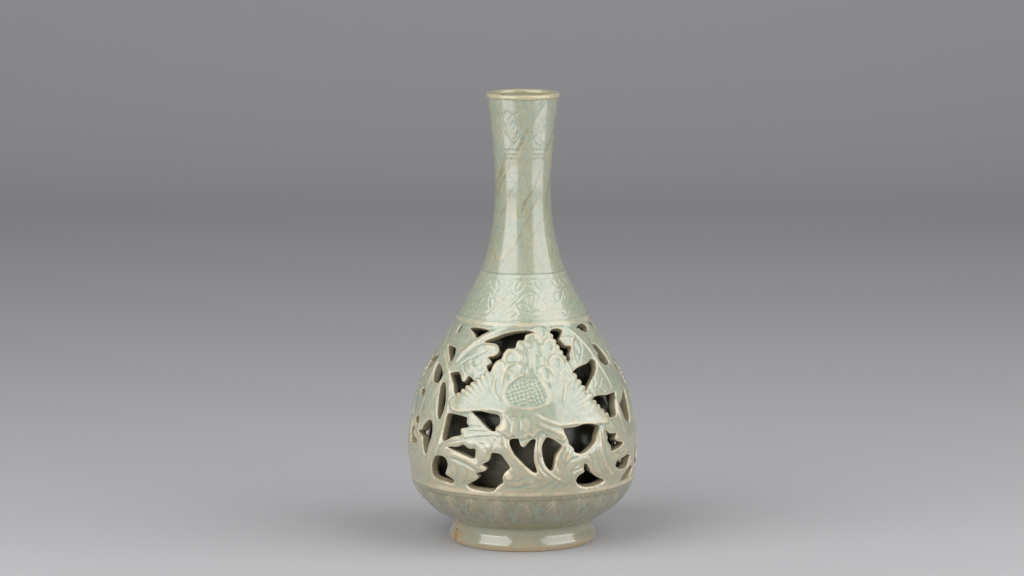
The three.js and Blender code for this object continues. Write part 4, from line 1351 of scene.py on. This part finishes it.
def petal_depth(bearing, z):
    """Outline, inner line and sunk ground of the band of petals.

    A petal's half width is 0.46 of its turn times (1 - share^2.6)^0.65 at a share of its height."""
    turn = 2 * math.pi / PETALS
    x = from_nearest(bearing - PETAL_TURN, turn)
    share = np.clip((z - PETAL_BOTTOM) / (PETAL_TOP - PETAL_BOTTOM), 0, 1)
    half_width = 0.46 * turn * (1 - share ** 2.6) ** 0.65
    beyond = (np.abs(x) - half_width) * shell_radius(z) * 0.8
    band = smooth_step(z, PETAL_BOTTOM - 0.4, PETAL_BOTTOM + 0.6)
    band = band * smooth_step(PETAL_TOP + 0.8 - z, 0, 1)
    outline = PETAL_LINE[0] * section(beyond, PETAL_LINE[1])
    inner_line = PETAL_INNER_LINE[0] * section(beyond + PETAL_LINE_GAP, PETAL_INNER_LINE[1])
    ground = PETAL_GROUND * smooth_step(beyond, 0, 0.8)
    crown = PETAL_CROWN * smooth_step(-beyond, 0, 3.5)
    return band * (outline + inner_line + ground - crown)


def bowl_depth(bearing, z):
    """Depth of the bowl: the sum of its skin, the petals, the line under them and its seam."""
    line = BOWL_LINE_DEPTH * section(z - BOWL_LINE, 0.4)
    return RIM_LEVEL + petal_depth(bearing, z) + line + seam_groove(z)


bowl_back = back_rings("lower_bowl")
bowl = shell_section("petal_bowl", BOWL_BOTTOM, OPENWORK_BOTTOM, 0.36, BOWL_COLUMNS, bowl_depth,
                     bowl_back, (BOWL_BOTTOM, bowl_back[-1][1]))

# %% [markdown]
# ## Foot ring
#
# The foot was turned separately: a soft bead near the table, a hollow above it, and a flat
# underside wiped clean of glaze. The stations of its solid could be turned as they are, but
# a tool leaves no facets, so its face is a smooth curve through them.

# %% Foot ring
FOOT_COLUMNS = 360
FOOT_INSET = 0.2
foot_heights, foot_radii = turned_rings("foot_ring")
_, foot_inner_radii = turned_rings("foot_ring", np.min)


def foot_rows():
    """Outer rows of the foot, from the table up, with a slight waver from the hand."""
    levels = np.concatenate([[0, 0.12, 0.3, 0.6], np.linspace(1, BOWL_BOTTOM, 30)])
    bearing = around(FOOT_COLUMNS)
    waver = 0.10 * np.sin(2 * bearing + 1) + 0.06 * np.sin(5 * bearing) + 0.04 * np.sin(11 * bearing + 2)
    face = smooth_curve(foot_heights[1:], foot_radii[1:], np.maximum(levels, foot_heights[1]))
    corner = np.sqrt(1 - (1 - np.clip(levels, 0, 1)) ** 2)
    radii = foot_radii[0] + (face - foot_radii[0]) * corner
    return rows_around(bearing, [(radius - FOOT_INSET - waver * min(1, z), z)
                                 for radius, z in zip(radii, levels)])


foot_back = [(foot_inner_radii[-1], BOWL_BOTTOM), (foot_inner_radii[-1] + 0.5, BOWL_BOTTOM / 2),
             (foot_inner_radii[1] + 0.3, 1.0), (foot_inner_radii[0], 0.0)]
foot = turned_section("turned_foot", foot_rows(), rows_around(around(FOOT_COLUMNS), foot_back))

# %% [markdown]
# ## Inner vessel
#
# The vessel inside keeps an even gap of air to the shell and rises to a neck that fits the
# shoulder. Its profile could be drawn by hand, but taking one depth off the shell's own
# profile keeps the gap even. It was thrown plain, so it has only faint throwing rings, which
# catch the little light that comes through the openings.

# %% Inner vessel
VESSEL_COLUMNS = 300
VESSEL_FLOOR = 5.0
THROWING_RING = 0.1
RINGS_UP = 1.9
vessel_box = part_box("inner_vessel")
vessel_bottom, vessel_top = vessel_box[0][2] / MM, vessel_box[1][2] / MM
vessel_neck = float(turned_rings("inner_vessel")[1][-1])
vessel_bore = float(turned_rings("inner_vessel", np.min)[1][-1])
AIR_GAP = float(RING_RADII.max()) - SHELL_WALL - vessel_box[1][0] / MM
print("air gap", round(AIR_GAP, 2), "mm, vessel wall", round(vessel_neck - vessel_bore, 2), "mm")


def vessel_radius(z, depth):
    """Radius at a depth under the vessel's face: the shell less its wall and the air, or the neck."""
    return np.maximum(vessel_neck - depth, inset_radius(z, SHELL_WALL + depth) - AIR_GAP)


def vessel_rows(low, high, count, depth):
    """Rows up the vessel. Its face has throwing rings: 0.1 * (1 + sin(1.9 * height)) mm deep."""
    heights = np.linspace(low, high, count)
    rings = THROWING_RING * (1 + np.sin(heights * RINGS_UP)) * (depth == 0)
    return rows_around(around(VESSEL_COLUMNS), [(vessel_radius(z, depth) - ring, z)
                                                for z, ring in zip(heights, rings)])


vessel = turned_section(
    "water_vessel", vessel_rows(vessel_bottom, vessel_top, 110, 0),
    vessel_rows(vessel_bottom + VESSEL_FLOOR, vessel_top, 40, vessel_neck - vessel_bore)[::-1],
    poles=(vessel_bottom, vessel_bottom + VESSEL_FLOOR))

# %% [markdown]
# ## Luting coils
#
# Two coils of clay hold the vessel: one pressed into the corner at the bowl's floor, one
# high under the shoulder. A torus would be too neat: a thumb ran round them, so their faces
# swell and dip, which a cosine of the bearing gives.

# %% Coils
COIL_COLUMNS = 240
COIL_INSET = 0.1
THUMB_DIP = 0.5


def luting_coil(name, node, thumbs):
    """A pressed coil: the rings of its solid with a rounded face and even thumb marks."""
    heights, outer = turned_rings(node)
    _, inner = turned_rings(node, np.min)
    low, high = heights[0], heights[-1]
    bearing = around(COIL_COLUMNS)
    marks = THUMB_DIP * (0.5 + 0.5 * np.cos(thumbs * bearing)) * (1 + 0.3 * np.sin(3 * bearing))
    pairs = [(outer[0] + (outer[-1] - outer[0]) * share - marks * (0.2 + math.sin(math.pi * share))
              - COIL_INSET, low + (high - low) * share) for share in np.linspace(0, 1, 12)]
    back = rows_around(bearing, ((inner[-1], high), (inner[0], low)))
    return turned_section(name, rows_around(bearing, pairs), back)


coils = [luting_coil("floor_luting", "floor_coil", 26), luting_coil("collar_luting", "collar_coil", 18)]

# %% [markdown]
# ## Building a glaze from nodes
#
# Everything a material says is worked out from Object coordinates, which are metres on these
# pieces, and from the values stored on the points. A few small helpers keep the node trees
# short: one makes a node and fills or links its inputs, the others name what they return.

# %% Node helpers
def add_node(tree, kind, inputs=None, **settings):
    """Makes a shader node. An input is a value, or another node's output to link."""
    made = tree.nodes.new("ShaderNode" + kind)
    for key, value in settings.items():
        setattr(made, key, value)
    for socket, value in (inputs or {}).items():
        if isinstance(value, bpy.types.NodeSocket):
            tree.links.new(value, made.inputs[socket])
        else:
            made.inputs[socket].default_value = value
    return made


def mixed(tree, share, first, second):
    """Colour that goes from first to second with share."""
    inputs = {0: share, 6: first, 7: second}
    return add_node(tree, "Mix", inputs, data_type="RGBA", clamp_factor=True).outputs[2]


def ranged(tree, value, low, high, to_low=0.0, to_high=1.0):
    """value stretched from low..high to to_low..to_high, with soft ends."""
    return add_node(tree, "MapRange", {0: value, 1: low, 2: high, 3: to_low, 4: to_high},
                    interpolation_type="SMOOTHSTEP").outputs[0]


def times(tree, first, second):
    """first * second, each a number or an output."""
    return add_node(tree, "Math", {0: first, 1: second}, operation="MULTIPLY").outputs[0]


def noise(tree, place, scale, detail=3.0):
    """Smooth random values around 0.5, with about scale waves to a metre."""
    return add_node(tree, "TexNoise", {"Vector": place, "Scale": scale, "Detail": detail}).outputs["Fac"]


def clouds(tree, place, scale, low, high, to_low=0.0, to_high=1.0, detail=3.0):
    """Soft patches, about scale of them to a metre: noise stretched from low..high."""
    return ranged(tree, noise(tree, place, scale, detail), low, high, to_low, to_high)


def bump(tree, strength, distance, height, **over):
    """Normal of a surface that height (0 to 1) lifts by distance, in metres."""
    inputs = {"Strength": strength, "Distance": distance, "Height": height, **over}
    return add_node(tree, "Bump", inputs)


def stored(tree, name):
    """The value stored on the points under a name, or 0 where a piece has none."""
    return add_node(tree, "Attribute", attribute_name=name).outputs["Fac"]


def colour(red, green, blue):
    """An opaque colour in linear light."""
    return (red, green, blue, 1.0)


def connect(tree, shader, base, roughness, last_bump):
    """Links a colour, a roughness and the last bump to the Principled shader."""
    tree.links.new(base, shader.inputs["Base Color"])
    tree.links.new(roughness, shader.inputs["Roughness"])
    tree.links.new(last_bump.outputs[0], shader.inputs["Normal"])


def new_material(name):
    """A material's node tree, its Principled shader and its Object coordinates."""
    made = bpy.data.materials.new(name)
    made.use_nodes = True
    tree = made.node_tree
    return made, tree, tree.nodes["Principled BSDF"], add_node(tree, "TexCoord").outputs["Object"]


# %% [markdown]
# ## Celadon
#
# The glaze has clouds of thicker and thinner cover, a net of fine cracks, small iron specks
# and a surface that is smooth but never quite flat. Real glass over clay could be rendered
# as such, but it is slow and noisy. So the colour is built up in layers, each a share and
# a colour laid over the ones before. Pooled and thin glaze come from the stored maps, and a
# clear coat over the base gives the deep gloss of a thick glaze. The stored inside map adds
# painted shade: the cut walls turn darker inwards and the inner faces nearly black.

# %% Celadon glaze
BODY = colour(0.385, 0.405, 0.302)
CLOUD = colour(0.340, 0.372, 0.272)
POOLED = colour(0.262, 0.338, 0.262)
THIN = colour(0.610, 0.520, 0.350)
TAN = colour(0.440, 0.372, 0.250)
OLIVE = colour(0.345, 0.290, 0.182)
OLIVE_MOTTLE = colour(0.300, 0.290, 0.175)
TEAL_MOTTLE = colour(0.255, 0.325, 0.262)
# CUT_WALL is the tan glaze of the cut walls, darkened in part as painted shade; SHADED is painted shade
# on the inner faces
CUT_WALL = colour(0.345, 0.300, 0.185)
SHADED = colour(0.052, 0.048, 0.030)
STAIN = colour(0.210, 0.172, 0.082)
IRON = colour(0.120, 0.070, 0.030)
RUST = colour(0.205, 0.090, 0.022)
RUST_HALO = colour(0.460, 0.300, 0.130)


def crackle_net(tree, place):
    """Thin lines of a net of cracks with cells of about 6 mm, bent a little by noise."""
    wander = add_node(tree, "TexNoise", {"Vector": place, "Scale": 90.0}).outputs["Color"]
    shift = add_node(tree, "VectorMath", {0: wander, 3: 0.006}, operation="SCALE").outputs[0]
    bent = add_node(tree, "VectorMath", {0: place, 1: shift}, operation="ADD").outputs[0]
    net = add_node(tree, "TexVoronoi", {"Vector": bent, "Scale": 150.0}, feature="DISTANCE_TO_EDGE")
    return ranged(tree, net.outputs["Distance"], 0.0, 0.045, 1.0, 0.0)


def iron_specks(tree, place):
    """Rare small round specks: the middles of one cell in fifteen of a fine Voronoi net."""
    cells = add_node(tree, "TexVoronoi", {"Vector": place, "Scale": 260.0})
    chosen = add_node(tree, "SeparateColor", {0: cells.outputs["Color"]}).outputs[0]
    dot = ranged(tree, cells.outputs["Distance"], 0.10, 0.16, 1.0, 0.0)
    return times(tree, dot, ranged(tree, chosen, 0.93, 0.95))


def rust_spot(tree, place, middle, radius):
    """Share of a rust spot: 1 within its radius (metres), and a ragged fall to 0 over twice that."""
    spread = add_node(tree, "VectorMath", {0: place, 1: middle}, operation="DISTANCE").outputs["Value"]
    ragged = times(tree, spread, clouds(tree, place, 330, 0.3, 0.7, 0.6, 1.7))
    return ranged(tree, ragged, 0.8 * radius, 2.4 * radius, 1.0, 0.0)


def stretched(tree, place):
    """Coordinates in which a round noise patch is drawn out upwards, as glaze runs."""
    return add_node(tree, "VectorMath", {0: place, 1: (1.0, 1.0, 0.45)}, operation="MULTIPLY").outputs[0]


def celadon(name, body=BODY, cloud=CLOUD, olive=None, crackle=0.25, thin=1.0, deep=0.8, mottle=0.4,
            rust=()):
    """A celadon glaze, from its layers of colour upwards.

    olive is (top, bottom, colour): heights in metres between which the glaze turns. rust is a list
    of (middle, radius, share) in metres. thin and deep say how far thin and pooled glaze change the
    colour, crackle how dark the net of cracks is, and mottle how strong the runs are."""
    made, tree, shader, place = new_material(name)
    pool, inside, run = stored(tree, "pool"), stored(tree, "inside"), stretched(tree, place)
    cracks = crackle_net(tree, place)
    patchy = clouds(tree, place, 170, 0.34, 0.60, 0.30, 1.0)
    layers = [(clouds(tree, place, 42, 0.35, 0.68), cloud),
              (clouds(tree, place, 78, 0.50, 0.72, 0.0, 0.45), TAN)]
    if olive:
        top, bottom, olive_colour = olive
        height = add_node(tree, "SeparateXYZ", {0: place}).outputs["Z"]
        patch = clouds(tree, place, 120, 0.3, 0.7, 0.65, 1.0)
        layers.append((times(tree, ranged(tree, height, top, bottom), patch), olive_colour))
    layers += [
        (clouds(tree, run, 430, 0.46, 0.66, 0.0, 0.70 * mottle, 5.0), OLIVE_MOTTLE),
        (clouds(tree, run, 330, 0.48, 0.68, 0.0, 0.70 * mottle, 5.0), TEAL_MOTTLE),
        (ranged(tree, pool, 0.015, 0.24, 0.0, deep), POOLED),
        (times(tree, ranged(tree, pool, -0.03, -0.24, 0.0, 0.70 * thin), patchy), THIN),
        (times(tree, ranged(tree, stored(tree, "edge"), 0.25, 0.95, 0.0, 0.85 * thin), patchy), THIN),
        (times(tree, cracks, crackle), STAIN),
        (times(tree, stored(tree, "stain"), clouds(tree, place, 230, 0.32, 0.58, 0.25, 0.90)), STAIN),
        (times(tree, iron_specks(tree, place), 0.55), IRON)]
    for middle, radius, strength in rust:
        layers += [
            (times(tree, rust_spot(tree, place, middle, 3 * radius), 0.7 * strength), RUST_HALO),
            (times(tree, rust_spot(tree, place, middle, radius), strength), RUST)]
    # painted shade: along the inside map the colour turns to CUT_WALL on the cut walls, then to SHADED
    # on the inner faces
    layers += [(ranged(tree, inside, 0.02, 0.40, 0.0, 0.9), CUT_WALL),
               (ranged(tree, inside, 0.40, 1.0), SHADED)]
    base = body
    for share, layer in layers:
        base = mixed(tree, share, base, layer)
    skin = bump(tree, 0.35, 0.0004, noise(tree, place, 190))
    fine = bump(tree, 0.25, 0.0001, cracks, Normal=skin.outputs[0])
    fine.invert = True
    connect(tree, shader, base, clouds(tree, place, 60, 0.3, 0.7, 0.16, 0.30), fine)
    shader.inputs["IOR"].default_value = 1.58
    shader.inputs["Coat Weight"].default_value = 0.9
    shader.inputs["Coat Roughness"].default_value = 0.09
    return made


# %% [markdown]
# ## The finishes
#
# One glaze covers the whole bottle. It fired olive and mottled on the bowl and cream on the lip.
# The inner vessel is a dark olive that is partly painted shade, the inner faces of the shell
# carry painted shade too, and the coils are bare clay. One material could hold all of that
# behind masks, but one function called for each section keeps every finish easy to read.

# %% Finishes
FOOT_RUST = [((-0.0405, -0.0170, 0.0040), 0.0015, 1.0), ((-0.0398, -0.0155, 0.0080), 0.0009, 0.8),
             ((-0.0404, -0.0169, 0.0125), 0.0005, 0.6)]

pale_glaze = celadon("pale_celadon", olive=(0.098, 0.036, OLIVE), crackle=0.16, mottle=0.85)
scroll_glaze = celadon("scroll_celadon", crackle=0.14, mottle=0.55)
neck_glaze = celadon("mottled_celadon", colour(0.335, 0.352, 0.258), colour(0.300, 0.325, 0.232),
                     crackle=0.26, mottle=1.1)
olive_glaze = celadon("olive_celadon", colour(0.248, 0.218, 0.130), colour(0.212, 0.192, 0.114),
                      olive=(0.026, 0.014, colour(0.235, 0.215, 0.125)), crackle=0.16, thin=0.7,
                      deep=0.45, mottle=0.8)
foot_glaze = celadon("foot_celadon", colour(0.322, 0.308, 0.208), colour(0.276, 0.270, 0.178),
                     olive=(0.0052, 0.0010, colour(0.43, 0.31, 0.17)), crackle=0.14, rust=FOOT_RUST)
cream_glaze = celadon("cream_lip", colour(0.475, 0.425, 0.260), colour(0.415, 0.385, 0.230),
                      crackle=0.06, mottle=0.15)


def dark_glaze_and_shade():
    """Dark olive of the inner vessel, partly its glaze and partly painted shade; more painted
    shade darkens it in its upper half and on its right side.
    """
    made, tree, shader, place = new_material("shaded_celadon")
    low = mixed(tree, clouds(tree, place, 60, 0.3, 0.7), colour(0.150, 0.140, 0.094),
                colour(0.106, 0.100, 0.066))
    parts = add_node(tree, "SeparateXYZ", {0: place}).outputs
    # painted shade: towards near black above 55 mm and right of 12 mm
    high, right = ranged(tree, parts["Z"], 0.055, 0.080), ranged(tree, parts["X"], 0.012, 0.026)
    painted_shade = add_node(tree, "Math", {0: high, 1: right}, operation="MAXIMUM").outputs[0]
    base = mixed(tree, painted_shade, low, colour(0.030, 0.028, 0.019))
    connect(tree, shader, base, clouds(tree, place, 90, 0.3, 0.7, 0.22, 0.36),
            bump(tree, 0.5, 0.0006, noise(tree, place, 150)))
    shader.inputs["Specular IOR Level"].default_value = 0.35
    return made


def bare_clay():
    """Unglazed grey-brown stoneware with grog and a matt skin."""
    made, tree, shader, place = new_material("bare_stoneware")
    base = mixed(tree, clouds(tree, place, 300, 0.35, 0.65, detail=5.0), colour(0.29, 0.23, 0.15),
                 colour(0.19, 0.15, 0.10))
    connect(tree, shader, base, clouds(tree, place, 500, 0.3, 0.7, 0.8, 0.95),
            bump(tree, 0.6, 0.0003, noise(tree, place, 900, 4.0)))
    return made


vessel_glaze_and_shade, clay = dark_glaze_and_shade(), bare_clay()
print("finishes:", ", ".join(each.name for each in (
    pale_glaze, scroll_glaze, neck_glaze, olive_glaze, foot_glaze, cream_glaze, vessel_glaze_and_shade, clay)))

# %% [markdown]
# ## Dressing the frame
#
# Each piece rides on the one body, stands for its solid and names the finish slot it uses.
# A table says this for all pieces at once, so none is forgotten.

# %% Pieces on the frame
DRESSING = [(piece, "openwork_wall", "pale_glaze", pale_glaze) for piece in panels] + [
    (shoulder, "shoulder", "pale_glaze", scroll_glaze),
    (neck, "neck", "pale_glaze", neck_glaze),
    (lip, "mouth_lip", "cream_glaze", cream_glaze),
    (bowl, "lower_bowl", "olive_glaze", olive_glaze),
    (foot, "foot_ring", "olive_glaze", foot_glaze),
    (vessel, "inner_vessel", "shaded_glaze", vessel_glaze_and_shade),
    (coils[0], "floor_coil", "bare_clay", clay),
    (coils[1], "collar_coil", "bare_clay", clay),
]
for piece, node, slot, material in DRESSING:
    piece.data.materials.append(material)
    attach(piece, "root")
    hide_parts(node)
print(len(DRESSING), "pieces for", len({node for _, node, _, _ in DRESSING}), "solids")

# %% [markdown]
# ## Floor
#
# The bottle stands on a plain pale floor that sweeps up behind it in one curve, as a roll of
# studio paper does. No corner shows, so nothing competes with the bottle.

# %% Floor
FLOOR_HALF_WIDTH = 6.0
FLOOR_FRONT = -6
SWEEP_RADIUS = 0.8
SWEEP_START = 1.6
WALL_TOP = 4.0


def swept_floor():
    """A floor strip along Y that turns up in a quarter circle and ends as a wall, in metres."""
    turn = np.linspace(0, math.pi / 2, 17)
    y = np.concatenate([[FLOOR_FRONT, -2, SWEEP_START / 2], SWEEP_START + SWEEP_RADIUS * np.sin(turn),
                        [SWEEP_START + SWEEP_RADIUS]])
    z = np.concatenate([[0, 0, 0], SWEEP_RADIUS * (1 - np.cos(turn)), [WALL_TOP]])
    left = np.stack([-FLOOR_HALF_WIDTH + 0 * y, y, z], axis=1)
    right = left + (2 * FLOOR_HALF_WIDTH, 0, 0)
    i, count = np.arange(len(y) - 1), len(y)
    quads = np.stack([i, i + count, i + count + 1, i + 1], axis=1)
    return mesh_object("floor", np.concatenate([left, right]) / MM, quads)


floor = swept_floor()
floor_paint, _, floor_shader, _ = new_material("pale_floor")
floor_shader.inputs["Base Color"].default_value = colour(0.46, 0.455, 0.465)
floor_shader.inputs["Roughness"].default_value = 0.8
floor.data.materials.append(floor_paint)

# %% [markdown]
# ## Light
#
# A glaze is seen mostly by what it mirrors, so the lights are large even rectangles, not
# points. Two softboxes stand left and right of the camera and light the bottle from above.
# Each draws one long highlight down the glaze. The neck flares out to the lip and mirrors
# what is low there, so a low panel under each softbox carries its highlight on up to the
# lip. A soft world fills the shadows.

# %% Soft lights
AIM = Vector((0, 0, 0.13))
SOFTBOX = (1.5, (1.45, 1.9))
LOW_PANEL = (0.62, (0.60, 0.10))


def soft_light(name, azimuth, elevation, radiance, distance, size):
    """A rectangle of even light that faces the bottle. Its power is pi times radiance times area."""
    side, up = math.radians(azimuth), math.radians(elevation)
    direction = Vector((math.sin(side) * math.cos(up), -math.cos(side) * math.cos(up), math.sin(up)))
    data = bpy.data.lights.new(name, "AREA")
    data.shape = "RECTANGLE"
    data.size, data.size_y = size
    data.energy = math.pi * radiance * data.size * data.size_y
    lamp = bpy.data.objects.new(name, data)
    lamp.location = AIM + distance * direction
    lamp.rotation_euler = (-direction).to_track_quat("-Z", "Y").to_euler()
    lamp.visible_camera = False
    bpy.context.scene.collection.objects.link(lamp)
    print(name, round(data.energy, 1), "W")


soft_light("softbox_left", -47, 31.6, 2.75, *SOFTBOX)
soft_light("softbox_right", 63, 31.6, 2.45, *SOFTBOX)
soft_light("low_panel_left", -47, -3, 2.5, *LOW_PANEL)
soft_light("low_panel_right", 63, -3, 2.25, *LOW_PANEL)

world = bpy.data.worlds.new("soft_room")
world.use_nodes = True
world.node_tree.nodes["Background"].inputs["Color"].default_value = colour(0.80, 0.82, 0.85)
world.node_tree.nodes["Background"].inputs["Strength"].default_value = 0.33
bpy.context.scene.world = world

# %% [markdown]
# ## Finish
#
# The dressed bottle has to stay inside the box of its solids. The last step brings the view
# layer up to date.

# %% Finish
bpy.context.view_layer.update()
